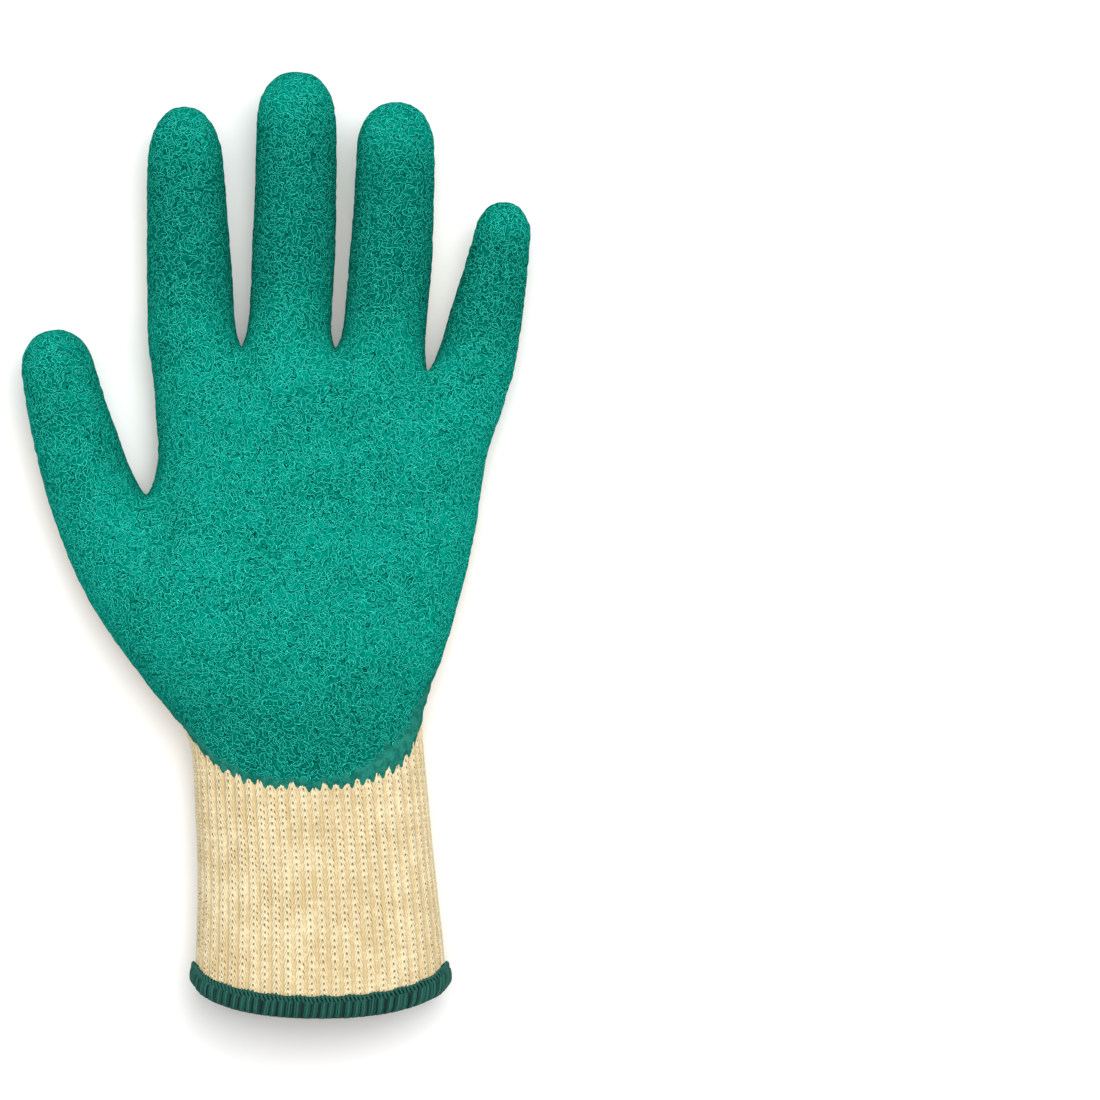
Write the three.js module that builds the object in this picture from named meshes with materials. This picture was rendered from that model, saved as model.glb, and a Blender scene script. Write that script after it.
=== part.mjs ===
// A latex coated grip glove for the left hand, lying on its back with the palm up.
// The knit is the glove itself: a cuff, a hand and five fingers that are knitted on one after
// another. A latex skin covers its palm, its sides and its fingers, all round at the tips, and a
// stitched hem binds the rim of the cuff.
// X runs across the hand from the thumb to the little finger, Y from the cuff to the
// fingertips, and Z up out of the palm.
import * as THREE from "three";

// Driving sizes in millimetres
const cuffLength = 75; // from the rim to the wrist
const cuffWidth = 63; // across the narrowest part of the wrist
const cuffThickness = 33;
const palmLength = 104.6; // from the wrist to the web beside the middle finger
const palmWidth = 88; // across the knuckles
const palmThickness = 28.5;
const knitWall = 1.5;
const latexWall = 1;
const layerGap = 0.3; // clear space between two pieces
const hemHeight = 5; // how far the hem reaches up the cuff
const hemWall = 1.6;
const rimSag = 8.5; // how far the rim bows out at its top and bottom, past its two sides
const hemBevel = 0.6; // how much of the hem's wall is left at its rounded edges and inside
const webGap = 4.4; // clear width between two fingers just above their web
const webRound = 2.6; // how far a web's middle stands above its palm and back edges
const webThickness = 13; // from palm to back through the web of two fingers
const fingerFlatness = 0.93; // a finger's depth as a share of its width
const thumbDepth = 0.9; // the thumb's depth at its base as a share of palmThickness
const tipRoundness = 2.3; // exponent of a fingertip's outline, 2 is an ellipse

const hemStand = layerGap + hemWall; // how far the hem stands out from the knit
const latexStand = layerGap + latexWall; // how far the latex stands out from the knit
const wristY = cuffLength;

// The five fingers. Length is from the web to the knitted tip in millimetres. Lean is how far
// the tip goes sideways and curl how far it rises, as shares of the length. Bow is the share of
// the lean that is taken early. TipWidth is a share of the base width, and tipLength, the length
// of the rounded end, too. Roll turns the bare strip on the finger's back round towards the
// little finger, in degrees. The strip ends at the share bareEnd of the length, and bareBase
// and bareMiddle are its levels below the finger's middle, as shares of its half depth.
const fingers = {
  index: { length: 65.3, lean: -0.034, bow: 0.7, curl: 0.12, tipWidth: 0.86, tipLength: 0.9,
    roll: -17, bareEnd: 0.77, bareBase: -0.66, bareMiddle: -0.76 },
  middle: { length: 74.2, lean: 0.034, bow: 1.1, curl: 0.11, tipWidth: 0.93, tipLength: 0.68,
    roll: 7, bareEnd: 0.8, bareBase: -0.5, bareMiddle: -0.72 },
  ring: { length: 69.4, lean: 0.063, bow: 0.95, curl: 0.12, tipWidth: 0.9, tipLength: 0.62,
    roll: 18, bareEnd: 0.79, bareBase: -0.5, bareMiddle: -0.7 },
  little: { length: 46.2, lean: 0.212, bow: 0.3, curl: 0.15, tipWidth: 0.69, tipLength: 0.55,
    roll: 4, bareEnd: 0.72, bareBase: -0.7, bareMiddle: -0.84 },
  thumb: { length: 47, lean: -0.262, bow: 0.5, curl: 0.12, tipWidth: 0.8, tipLength: 0.56,
    roll: -48, bareEnd: 0.62, bareBase: -0.62, bareMiddle: -0.8 },
};
const longFingers = ["index", "middle", "ring", "little"];

// Cuff sections from rim to wrist, of which the hem wraps the first two. Along is a share of
// cuffLength, left and right are shares of cuffWidth from the glove's own line, top and bottom
// are shares of cuffThickness, and sag is the share of rimSag that the section still has.
const cuffSections = [
  { along: hemStand / cuffLength, left: -0.448, right: 0.622, top: 1.08, bottom: 0, sag: 1 },
  { along: (hemStand + hemHeight) / cuffLength, left: -0.445, right: 0.614, top: 1.07, bottom: 0,
    sag: 0.95 },
  { along: 0.24, left: -0.44, right: 0.6, top: 1.04, bottom: -0.03, sag: 0.68 },
  { along: 0.43, left: -0.437, right: 0.579, top: 1.015, bottom: -0.03, sag: 0.38 },
  { along: 0.62, left: -0.44, right: 0.558, top: 1, bottom: -0.03, sag: 0.16 },
  { along: 0.81, left: -0.452, right: 0.539, top: 0.985, bottom: -0.03, sag: 0.03 },
  { along: 1, left: -0.475, right: 0.519, top: 0.98, bottom: -0.03, sag: 0 },
];

// Hand sections from wrist to thumb web. Rise is a share of palmLength at the left and the right
// side, left and right are shares of palmWidth, top and bottom are shares of palmThickness, and
// valley is how far the section is pinched in where the thumb parts from the palm.
const handSections = [
  { riseLeft: 0.1, riseRight: 0.104, left: -0.415, right: 0.378, top: 1.13, bottom: -0.03, valley: 0 },
  { riseLeft: 0.2, riseRight: 0.207, left: -0.505, right: 0.418, top: 1.13, bottom: -0.04, valley: 0 },
  { riseLeft: 0.298, riseRight: 0.31, left: -0.587, right: 0.453, top: 1.13, bottom: -0.04, valley: 0 },
  { riseLeft: 0.39, riseRight: 0.414, left: -0.653, right: 0.485, top: 1.12, bottom: -0.03, valley: 0.04 },
  { riseLeft: 0.482, riseRight: 0.516, left: -0.706, right: 0.512, top: 1.1, bottom: 0, valley: 0.16 },
  { riseLeft: 0.572, riseRight: 0.618, left: -0.745, right: 0.532, top: 1.08, bottom: 0.01, valley: 0.5 },
];

// Knuckle sections from thumb web to finger webs, with the same columns. Here valley pinches
// the section in between the fingers.
const knuckleSections = [
  { riseLeft: 0.7, riseRight: 0.7, left: -0.428, right: 0.547, top: 1.06, bottom: -0.03, valley: 0 },
  { riseLeft: 0.78, riseRight: 0.77, left: -0.424, right: 0.566, top: 1.04, bottom: -0.03, valley: 0 },
  { riseLeft: 0.86, riseRight: 0.835, left: -0.431, right: 0.594, top: 1.01, bottom: -0.02, valley: 0.03 },
  { riseLeft: 0.935, riseRight: 0.895, left: -0.438, right: 0.618, top: 0.97, bottom: 0.03, valley: 0.14 },
  { riseLeft: 0.99, riseRight: 0.93, left: -0.452, right: 0.631, top: 0.92, bottom: 0.1, valley: 0.5 },
];

// Webs between neighbours, from the thumb to the little finger. Across is a share of palmWidth
// and rise a share of palmLength, at the top of the web.
const thumbWeb = { across: -0.468, rise: 0.617 };
const fingerWebs = [
  { across: -0.181, rise: 1 },
  { across: 0.102, rise: 1 },
  { across: 0.387, rise: 0.933 },
];

// Soft mounds and hollows of the palm. Across and reach are shares of palmWidth, rise is a share
// of palmLength, and height a share of palmThickness.
const palmForms = [
  { name: "ball of the thumb", across: -0.42, rise: 0.33, reach: 0.27, height: 0.16 },
  { name: "heel of the hand", across: 0.2, rise: 0.3, reach: 0.25, height: 0.07 },
  { name: "hollow of the palm", across: 0.02, rise: 0.6, reach: 0.26, height: -0.13 },
  { name: "pad under the index finger", across: -0.3, rise: 0.88, reach: 0.12, height: 0.05 },
  { name: "pad under the ring finger", across: 0.25, rise: 0.86, reach: 0.16, height: 0.04 },
];

// Where the latex ends. The cut starts at the share wristStart of cuffLength on the palm and
// meets the sides at the share wristSide. Above that it lies below the hand's middle by these
// shares of palmThickness, for shares of palmLength from the wrist.
const wristStart = 0.83;
const wristSide = 1.05;
const latexDrop = [
  { rise: 0, left: 0, right: 0 },
  { rise: 0.35, left: 0.03, right: 0.07 },
  { rise: 0.6, left: 0.08, right: 0.2 },
  { rise: 0.75, left: 0.18, right: 0.26 },
  { rise: 1, left: 0.24, right: 0.3 },
];
const webCover = 3; // how far the latex reaches past a web on the back, before it ends
const leastCover = 0.45; // keeps the latex edge this far from a corner of the mesh
const easePasses = 16; // how often the joints between hand and fingers are eased
const easeReturn = -1.04; // every second pass goes back by this share, so nothing shrinks
const handEase = [0.5, 0.4, 0.2]; // of the last sections below a web, from the web down
const fingerEase = [0.5, 0.35, 0.1]; // of the first rings of a finger

// Mesh counts
const segmentsPerFinger = 4;
const sideSegments = 3;
const fingerRings = 5;
const domeShares = [0.45, 0.76, 0.93]; // rings on a rounded fingertip, as shares of its length
const edgeShare = 0.93; // where the top row of a section ends, as a share of its half width
const middleShare = 0.5; // height of a section's widest line, as a share of its thickness
const fingerStart = 3.9; // from a finger's base line to its first ring
const lineStep = 0.01; // step along a finger for its direction, as a share of its length
const tipSpread = 0.62; // how far the points on a fingertip spread, as a share of its last ring
const topRoundness = 2.25; // exponents of a section's outline above and below its widest line
const backRoundness = 2.9;
const sagRoundness = 1.3; // exponents for how a shape sets in: the rim's bow round the cuff,
const curlGrowth = 1.5; // a finger's curl
const taperGrowth = 1.3; // and taper along it,
const bareTaper = 1.6; // and the point of its bare strip,
const bareNeck = 0.72; // which narrows from this share of the strip's length on
const tipCover = 3; // how fast the latex closes in over a fingertip past the strip
const forwardDraw = 0.12; // how far columns stay drawn to the hand's middle below a web

const mix = (a, b, share) => a + (b - a) * share;
const clamp01 = (value) => Math.min(1, Math.max(0, value));
const smooth = (value) => clamp01(value) ** 2 * (3 - 2 * clamp01(value));
const radians = THREE.MathUtils.degToRad;
const superEllipse = (share, exponent) =>
  Math.max(0, 1 - Math.abs(share) ** exponent) ** (1 / exponent);

// Looks a column up in a table by a rising key, straight between its rows.
function lookUp(table, key, value, column) {
  const next = table.findIndex((row) => row[key] >= value);
  if (next === 0) return table[0][column];
  if (next < 0) return table[table.length - 1][column];
  const [low, high] = [table[next - 1], table[next]];
  return mix(low[column], high[column], (value - low[key]) / (high[key] - low[key]));
}

// The glove's surface as a cage of four-sided faces. Each point keeps its place, its cover, and
// how much it is eased. The cover is how far inside the latex it lies, below zero where the
// knit is bare. Each face belongs to a piece of the knit, and a seam is the loop where a piece
// starts on the one before it, with the next loop of that piece.
class Cage {
  constructor() {
    this.points = [];
    this.cover = [];
    this.ease = [];
    this.faces = [];
    this.seams = [];
  }

  addPoint(place, cover) {
    this.cover.push(Math.sign(cover) * Math.max(Math.abs(cover), leastCover) || leastCover);
    this.ease.push(0);
    return this.points.push(place) - 1;
  }

  setEase(loop, amount) {
    for (const corner of loop) this.ease[corner] = Math.max(this.ease[corner], amount);
  }

  // Draws each eased point towards the middle of its neighbours, and nearly as far back again.
  relax() {
    const neighbours = this.points.map(() => new Set());
    for (const { corners } of this.faces) {
      corners.forEach((corner, i) => {
        const next = corners[(i + 1) % 4];
        neighbours[corner].add(next);
        neighbours[next].add(corner);
      });
    }
    for (let pass = 0; pass < easePasses; pass += 1) {
      this.points = this.points.map((point, i) => {
        if (this.ease[i] === 0) return point;
        const mean = new THREE.Vector3();
        for (const corner of neighbours[i]) mean.add(this.points[corner]);
        mean.divideScalar(neighbours[i].size);
        return point.clone().lerp(mean, this.ease[i] * (pass % 2 ? easeReturn : 1));
      });
    }
  }

  // Joins two loops of equal length. Loops run clockwise as seen from the cuff.
  bridge(lower, upper, knit) {
    lower.forEach((corner, i) => {
      const next = (i + 1) % lower.length;
      this.faces.push({ knit, corners: [corner, lower[next], upper[next], upper[i]] });
    });
  }

  // Area-weighted normals, pointing out of the glove.
  normals() {
    const sums = this.points.map(() => new THREE.Vector3());
    for (const { corners } of this.faces) {
      const [a, b, c, d] = corners.map((corner) => this.points[corner]);
      const normal = c.clone().sub(a).cross(d.clone().sub(b));
      for (const corner of corners) sums[corner].add(normal);
    }
    return sums.map((sum) => sum.normalize());
  }
}

// Height of the latex edge over the hand at a point, up the palm above the wrist's cut.
function latexLevel(place, middle, top) {
  const startY = wristStart * cuffLength;
  const sideY = wristSide * cuffLength;
  if (place.y < sideY) return mix(middle, top, (sideY - place.y) / (sideY - startY));
  const rise = (place.y - wristY) / palmLength;
  const side = smooth(place.x / palmWidth + 0.5);
  const left = lookUp(latexDrop, "rise", rise, "left");
  const right = lookUp(latexDrop, "rise", rise, "right");
  return middle - mix(left, right, side) * palmThickness;
}

function palmForm(place) {
  let height = 0;
  for (const form of palmForms) {
    const across = place.x / palmWidth - form.across;
    const rise = ((place.y - wristY) / palmLength - form.rise) * (palmLength / palmWidth);
    height += form.height * Math.exp(-(across ** 2 + rise ** 2) / form.reach ** 2);
  }
  return height * palmThickness;
}

// One closed section round the hand or the cuff. Columns are the places across it, from -1 to 1,
// of its left end, its webs and its right end, with four segments of mesh between two columns.
// It returns the loop's parts: the row on the palm, the row on the back and the two sides.
function addSection(cage, section, columns) {
  const { left, right, top, bottom, floor, sag, valley, webs } = section;
  const centre = (left + right) / 2;
  const halfWidth = (right - left) / 2;
  const middle = mix(Math.max(bottom, floor), top, middleShare);
  const rise = (across) => mix(section.yLeft, section.yRight, (across + 1) / 2);
  const pinch = (across) => {
    let depth = 0;
    for (const web of webs) {
      const away = ((across - web) * halfWidth) / (webThickness / 2);
      depth = Math.max(depth, valley * Math.exp(-(away ** 2)));
    }
    return depth;
  };
  const place = (across, height, upper) => {
    const half = upper ? top - middle : middle - bottom;
    const point = new THREE.Vector3(centre + across * halfWidth, rise(across), 0);
    point.y += sag * rimSag * (1 - Math.abs(height) ** sagRoundness);
    point.z = middle + height * half * (1 - pinch(across));
    if (upper) point.z += palmForm(point) * height;
    point.z = Math.max(point.z, floor);
    return point;
  };
  const cover = (point) => point.z - latexLevel(point, middle, top);
  const add = (point) => cage.addPoint(point, cover(point));
  const across = [];
  for (let column = 1; column < columns.length; column += 1) {
    for (let step = column === 1 ? 0 : 1; step <= segmentsPerFinger; step += 1) {
      across.push(mix(columns[column - 1], columns[column], step / segmentsPerFinger));
    }
  }
  const palm = across.map((x) => add(place(x, superEllipse(x, topRoundness), true)));
  const back = across.map((x) => add(place(x, -superEllipse(x, backRoundness), false)));
  const side = (sign) => {
    const high = superEllipse(edgeShare, topRoundness);
    const low = -superEllipse(edgeShare, backRoundness);
    const loop = [];
    for (let step = 1; step < sideSegments; step += 1) {
      const height = mix(high, low, step / sideSegments);
      const exponent = height > 0 ? topRoundness : backRoundness;
      loop.push(add(place(sign * superEllipse(height, exponent), height, height > 0)));
    }
    return loop;
  };
  return { palm, back, right: side(1), left: side(-1), middle };
}

// A section's whole loop: along the palm, down the right side, back, and up the left side.
const wholeLoop = (section) => [
  ...section.palm,
  ...section.right,
  ...section.back.slice().reverse(),
  ...section.left.slice().reverse(),
];

// The points between the palm and the back edge of a web, which two fingers share.
function addWeb(cage, web, palmCorner, backCorner, middle) {
  const y = wristY + web.rise * palmLength;
  const upper = cage.points[palmCorner];
  const lower = cage.points[backCorner];
  const corners = [upper, lower];
  corners.forEach((corner, i) => {
    corner.x = web.across * palmWidth;
    corner.y = y - webRound;
    corner.z = middle + (i === 0 ? 0.5 : -0.5) * webThickness;
  });
  cage.cover[palmCorner] = webCover;
  cage.cover[backCorner] = webCover;
  const loop = [];
  for (let step = 1; step < sideSegments; step += 1) {
    const place = upper.clone().lerp(lower, step / sideSegments);
    place.y = y;
    loop.push(cage.addPoint(place, webCover));
  }
  return loop;
}

// A knitted finger on its base loop: a tapering tube of rings that are square to its own curved
// line, and a rounded tip closed with a small grid of faces.
function addFinger(cage, name, base, start, baseWidth, baseDepth) {
  const finger = fingers[name];
  const { length, lean, bow, curl, tipWidth, roll } = finger;
  const domeLength = finger.tipLength * baseWidth;
  const tubeLength = length - domeLength;
  const line = (share) =>
    new THREE.Vector3(
      start.x + lean * length * ((1 + bow) * share - bow * share ** 2),
      start.y + length * share,
      start.z + curl * length * share ** curlGrowth,
    );
  const frame = (share) => {
    const along = line(share + lineStep).sub(line(Math.max(share - lineStep, 0))).normalize();
    const across = new THREE.Vector3(along.y, -along.x, 0).normalize();
    return { along, across, up: across.clone().cross(along) };
  };
  const bare = radians(roll);
  const bareLevel = (share) => {
    const { bareEnd, bareBase, bareMiddle } = finger;
    const neck = bareEnd * bareNeck;
    if (share < neck) return mix(bareBase, bareMiddle, share / neck);
    if (share < bareEnd) return mix(bareMiddle, -1, ((share - neck) / (bareEnd - neck)) ** bareTaper);
    return -1 - tipCover * (share - bareEnd);
  };
  const addOn = (share, width, depth, right, up) => {
    const { across, up: lift } = frame(share);
    const place = line(share).addScaledVector(across, right).addScaledVector(lift, up);
    const height = (up * Math.cos(bare) - right * Math.sin(bare)) / depth;
    return cage.addPoint(place, (height - bareLevel(share)) * depth);
  };
  const turn = (2 * Math.PI) / (2 * (segmentsPerFinger + sideSegments));
  const firstAngle = Math.PI / 2 + (turn * segmentsPerFinger) / 2;
  const widthAt = (share) => {
    const taper = mix(1, tipWidth, clamp01((share * length) / tubeLength) ** taperGrowth);
    return (taper * baseWidth) / 2;
  };
  const depthAt = (share) => {
    const settle = smooth((share * length) / baseWidth);
    return mix(baseDepth / 2, widthAt(share) * fingerFlatness, settle);
  };
  const addRing = (share, scale) => {
    const width = widthAt(share) * scale;
    const depth = depthAt(share) * scale;
    const ring = [];
    for (let i = 0; i < base.length; i += 1) {
      const angle = firstAngle - turn * i;
      ring.push(addOn(share, width, depth, width * Math.cos(angle), depth * Math.sin(angle)));
    }
    return ring;
  };
  let last = base;
  for (let i = 0; i <= fingerRings; i += 1) {
    const along = mix(fingerStart, tubeLength, i / fingerRings);
    const ring = addRing(along / length, 1);
    cage.setEase(ring, fingerEase[i] ?? 0);
    cage.bridge(last, ring, i ? name : "hand");
    if (i === 1) cage.seams.push({ knit: name, loop: last, next: ring });
    last = ring;
  }
  for (const dome of domeShares) {
    const share = (tubeLength + dome * domeLength) / length;
    const ring = addRing(share, superEllipse(dome, tipRoundness));
    cage.bridge(last, ring, name);
    last = ring;
  }
  // The grid's rows run from the palm side to the back, its columns from left to right.
  const lastScale = superEllipse(domeShares[domeShares.length - 1], tipRoundness);
  const backCorner = segmentsPerFinger + sideSegments;
  const rows = [last.slice(0, segmentsPerFinger + 1)];
  for (let row = 1; row < sideSegments; row += 1) {
    const points = [last[last.length - row]];
    const up = Math.cos((Math.PI * row) / sideSegments) * tipSpread;
    for (let column = 1; column < segmentsPerFinger; column += 1) {
      const right = -Math.cos((Math.PI * column) / segmentsPerFinger) * tipSpread;
      const out = Math.hypot(up, right) * lastScale;
      const share = (tubeLength + superEllipse(out, tipRoundness) * domeLength) / length;
      const width = widthAt(share) * lastScale;
      const depth = depthAt(share) * lastScale;
      points.push(addOn(share, width, depth, right * width, up * depth));
    }
    points.push(last[segmentsPerFinger + row]);
    rows.push(points);
  }
  rows.push(last.slice(backCorner, backCorner + segmentsPerFinger + 1).reverse());
  for (let row = 0; row < sideSegments; row += 1) {
    const [upper, lower] = [rows[row], rows[row + 1]];
    for (let column = 0; column < segmentsPerFinger; column += 1) {
      const corners = [upper[column], upper[column + 1], lower[column + 1], lower[column]];
      cage.faces.push({ knit: name, corners });
    }
  }
}

function buildCage() {
  const cage = new Cage();
  const evenColumns = [];
  for (let column = 0; column <= 5; column += 1) evenColumns.push(mix(-edgeShare, edgeShare, column / 5));
  const acrossOf = (web, left, right) => (web * palmWidth - (left + right) / 2) / ((right - left) / 2);

  // The cuff, with its rim lifted by the hem under it
  let lower = null;
  const rims = [];
  for (const row of cuffSections) {
    const onHem = rims.length < 2;
    const section = addSection(cage, {
      left: row.left * cuffWidth,
      right: row.right * cuffWidth,
      top: row.top * cuffThickness,
      bottom: row.bottom * cuffThickness,
      floor: onHem ? hemStand : 0,
      yLeft: row.along * cuffLength,
      yRight: row.along * cuffLength,
      sag: row.sag,
      valley: 0,
      webs: [],
    }, evenColumns);
    const loop = wholeLoop(section);
    if (lower) cage.bridge(lower, loop, "cuff");
    if (onHem) rims.push(loop);
    lower = loop;
  }

  // The hand up to the web of the thumb. The columns draw over to the webs that come above.
  let section = null;
  handSections.forEach((row, i) => {
    const left = row.left * palmWidth;
    const right = row.right * palmWidth;
    const webs = [thumbWeb, ...fingerWebs].map((web, order) => {
      const straight = mix(web.across, fingerWebs[1].across, order ? forwardDraw : 0);
      return acrossOf(straight, left, right);
    });
    const share = smooth((i + 1) / handSections.length);
    const columns = evenColumns.map((even, column) => {
      const inner = column > 0 && column < 5;
      return inner ? mix(even, webs[column - 1], share) : even;
    });
    section = addSection(cage, {
      left,
      right,
      top: row.top * palmThickness,
      bottom: row.bottom * palmThickness,
      floor: 0,
      yLeft: wristY + row.riseLeft * palmLength,
      yRight: wristY + row.riseRight * palmLength,
      sag: 0,
      valley: row.valley,
      webs: [webs[0]],
    }, columns);
    const loop = wholeLoop(section);
    cage.bridge(lower, loop, "hand");
    if (i === 0) cage.seams.push({ knit: "hand", loop: lower, next: loop });
    const thumbSide = segmentsPerFinger + 2;
    const ease = handEase[handSections.length - 1 - i] ?? 0;
    cage.setEase([...section.palm.slice(0, thumbSide), ...section.back.slice(0, thumbSide)], ease);
    cage.setEase(section.left, ease);
    lower = loop;
  });

  // The thumb takes the first columns of this section, the palm takes the others
  const split = segmentsPerFinger;
  const thumbLoop = addWeb(cage, thumbWeb, section.palm[split], section.back[split], section.middle);
  const thumbBase = [
    ...section.palm.slice(0, split + 1),
    ...thumbLoop,
    ...section.back.slice(0, split + 1).reverse(),
    ...section.left.slice().reverse(),
  ];
  const lastHand = handSections[handSections.length - 1];
  const thumbLeft = lastHand.left * palmWidth;
  const thumbRight = thumbWeb.across * palmWidth;
  const thumbWidth = thumbRight - thumbLeft - webGap / 2;
  addFinger(cage, "thumb", thumbBase, {
    x: thumbLeft + thumbWidth / 2,
    y: wristY + mix(lastHand.riseLeft, thumbWeb.rise, 0.5) * palmLength,
    z: section.middle,
  }, thumbWidth, palmThickness * thumbDepth);
  lower = [
    ...section.palm.slice(split),
    ...section.right,
    ...section.back.slice(split).reverse(),
    ...thumbLoop.slice().reverse(),
  ];

  // The knuckles up to the webs of the fingers
  knuckleSections.forEach((row, i) => {
    const left = row.left * palmWidth;
    const right = row.right * palmWidth;
    const webs = fingerWebs.map((web) => {
      const draw = forwardDraw * (1 - (i + 1) / knuckleSections.length);
      return acrossOf(mix(web.across, fingerWebs[1].across, draw), left, right);
    });
    section = addSection(cage, {
      left,
      right,
      top: row.top * palmThickness,
      bottom: row.bottom * palmThickness,
      floor: 0,
      yLeft: wristY + row.riseLeft * palmLength,
      yRight: wristY + row.riseRight * palmLength,
      sag: 0,
      valley: row.valley,
      webs,
    }, [-edgeShare, ...webs, edgeShare]);
    const loop = wholeLoop(section);
    cage.bridge(lower, loop, "hand");
    cage.setEase(loop, handEase[knuckleSections.length - 1 - i] ?? 0);
    lower = loop;
  });

  // The four long fingers
  const webLoops = fingerWebs.map((web, i) => {
    const corner = (i + 1) * segmentsPerFinger;
    return addWeb(cage, web, section.palm[corner], section.back[corner], section.middle);
  });
  const lastRow = knuckleSections[knuckleSections.length - 1];
  const ends = [
    { across: lastRow.left, rise: lastRow.riseLeft },
    ...fingerWebs,
    { across: lastRow.right, rise: lastRow.riseRight },
  ];
  longFingers.forEach((name, i) => {
    const first = i * segmentsPerFinger;
    const last = first + segmentsPerFinger;
    const rightSide = i < 3 ? webLoops[i] : section.right;
    const leftSide = i > 0 ? webLoops[i - 1] : section.left;
    const base = [
      ...section.palm.slice(first, last + 1),
      ...rightSide,
      ...section.back.slice(first, last + 1).reverse(),
      ...leftSide.slice().reverse(),
    ];
    const leftX = ends[i].across * palmWidth + (i > 0 ? webGap / 2 : 0);
    const rightX = ends[i + 1].across * palmWidth - (i < 3 ? webGap / 2 : 0);
    addFinger(cage, name, base, {
      x: (leftX + rightX) / 2,
      y: wristY + mix(ends[i].rise, ends[i + 1].rise, 0.5) * palmLength,
      z: section.middle,
    }, rightX - leftX, (lastRow.top - lastRow.bottom) * palmThickness);
  });
  cage.relax();
  for (const point of cage.points) point.z = Math.max(point.z, 0);
  return { cage, rims };
}

// A closed solid from triangles on an outer and an inner layer of the same points.
function shellSolid(outer, inner, triangles) {
  const corners = [];
  const edges = new Map();
  for (const [a, b, c] of triangles) {
    corners.push(outer[a], outer[b], outer[c], inner[a], inner[c], inner[b]);
    for (const [from, to] of [[a, b], [b, c], [c, a]]) {
      if (edges.has(`${to} ${from}`)) edges.delete(`${to} ${from}`);
      else edges.set(`${from} ${to}`, [from, to]);
    }
  }
  for (const [from, to] of edges.values()) {
    corners.push(outer[from], inner[from], outer[to]);
    corners.push(outer[to], inner[from], inner[to]);
  }
  return new THREE.BufferGeometry().setFromPoints(corners);
}

const offset = (points, normals, distance) =>
  points.map((point, i) => point.clone().addScaledVector(normals[i], distance));

// One piece of the knit. Where it starts on the piece before it, it keeps the layers' gap.
function knitPiece(cage, normals, knit) {
  const points = cage.points.slice();
  for (const seam of cage.seams) {
    if (seam.knit !== knit) continue;
    seam.loop.forEach((corner, i) => {
      const step = points[seam.next[i]].clone().sub(points[corner]).setLength(layerGap);
      points[corner] = points[corner].clone().add(step);
    });
  }
  const faces = cage.faces.filter((face) => face.knit === knit);
  const triangles = faces.flatMap(({ corners: [a, b, c, d] }) => [[a, b, c], [a, c, d]]);
  return shellSolid(points, offset(points, normals, -knitWall), triangles);
}

// The latex skin: the part of every face whose cover is above zero, cut along the edge line.
function latexSkin(cage, normals) {
  const points = cage.points.map((point) => point.clone());
  const directions = normals.map((normal) => normal.clone());
  const cuts = new Map();
  const cutPoint = (a, b) => {
    const key = a < b ? `${a} ${b}` : `${b} ${a}`;
    if (!cuts.has(key)) {
      const share = cage.cover[a] / (cage.cover[a] - cage.cover[b]);
      points.push(points[a].clone().lerp(points[b], share));
      directions.push(directions[a].clone().lerp(directions[b], share).normalize());
      cuts.set(key, points.length - 1);
    }
    return cuts.get(key);
  };
  const triangles = [];
  for (const { corners: [a, b, c, d] } of cage.faces) {
    for (const triangle of [[a, b, c], [a, c, d]]) {
      const kept = [];
      triangle.forEach((corner, i) => {
        const next = triangle[(i + 1) % 3];
        const [here, there] = [cage.cover[corner] > 0, cage.cover[next] > 0];
        if (here) kept.push(corner);
        if (here !== there) kept.push(cutPoint(corner, next));
      });
      for (let i = 2; i < kept.length; i += 1) triangles.push([kept[0], kept[i - 1], kept[i]]);
    }
  }
  const outer = offset(points, directions, latexStand);
  return shellSolid(outer, offset(points, directions, layerGap), triangles);
}

// The hem: a stitched binding that wraps over the rim of the cuff, closed round the opening.
// Each row of its section is a share of the way from the hem's top to the rim, and a distance
// out of the knit's outer face. Past the rim is how far the row goes beyond the knit's edge.
function stitchedHem(cage, normals, [rim, top]) {
  const inside = -knitWall;
  const bevel = layerGap + hemWall * hemBevel;
  const rows = [
    { down: 0, out: bevel, past: 0 },
    { down: 0.3, out: hemStand, past: 0 },
    { down: 0.85, out: hemStand, past: 0 },
    { down: 1, out: bevel, past: bevel },
    { down: 1, out: inside / 2, past: hemStand },
    { down: 1, out: inside - layerGap, past: bevel },
    { down: 0.85, out: inside - bevel, past: 0 },
    { down: 0, out: inside - bevel, past: 0 },
    { down: 0, out: inside - layerGap, past: 0 },
    { down: 1, out: inside - layerGap, past: layerGap },
    { down: 1, out: layerGap, past: layerGap },
    { down: 0, out: layerGap, past: 0 },
  ];
  const rings = rim.map((corner, i) => {
    const low = cage.points[corner];
    const high = cage.points[top[i]];
    const edge = low.clone().sub(high).normalize();
    const normal = normals[corner].clone().add(normals[top[i]]).normalize();
    normal.addScaledVector(edge, -normal.dot(edge)).normalize();
    return rows.map(({ down, out, past }) =>
      high.clone().lerp(low, down).addScaledVector(normal, out).addScaledVector(edge, past));
  });
  const corners = [];
  rings.forEach((ring, i) => {
    const next = rings[(i + 1) % rings.length];
    ring.forEach((point, row) => {
      const after = (row + 1) % rows.length;
      corners.push(point, ring[after], next[row]);
      corners.push(next[row], ring[after], next[after]);
    });
  });
  return new THREE.BufferGeometry().setFromPoints(corners);
}

const knitYarn = new THREE.MeshStandardMaterial({ color: 0xecd9a4, roughness: 0.95, metalness: 0 });
const greenLatex = new THREE.MeshStandardMaterial({ color: 0x0f9c7c, roughness: 0.6, metalness: 0 });
const hemThread = new THREE.MeshStandardMaterial({ color: 0x1f5d4b, roughness: 0.85, metalness: 0 });

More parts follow.
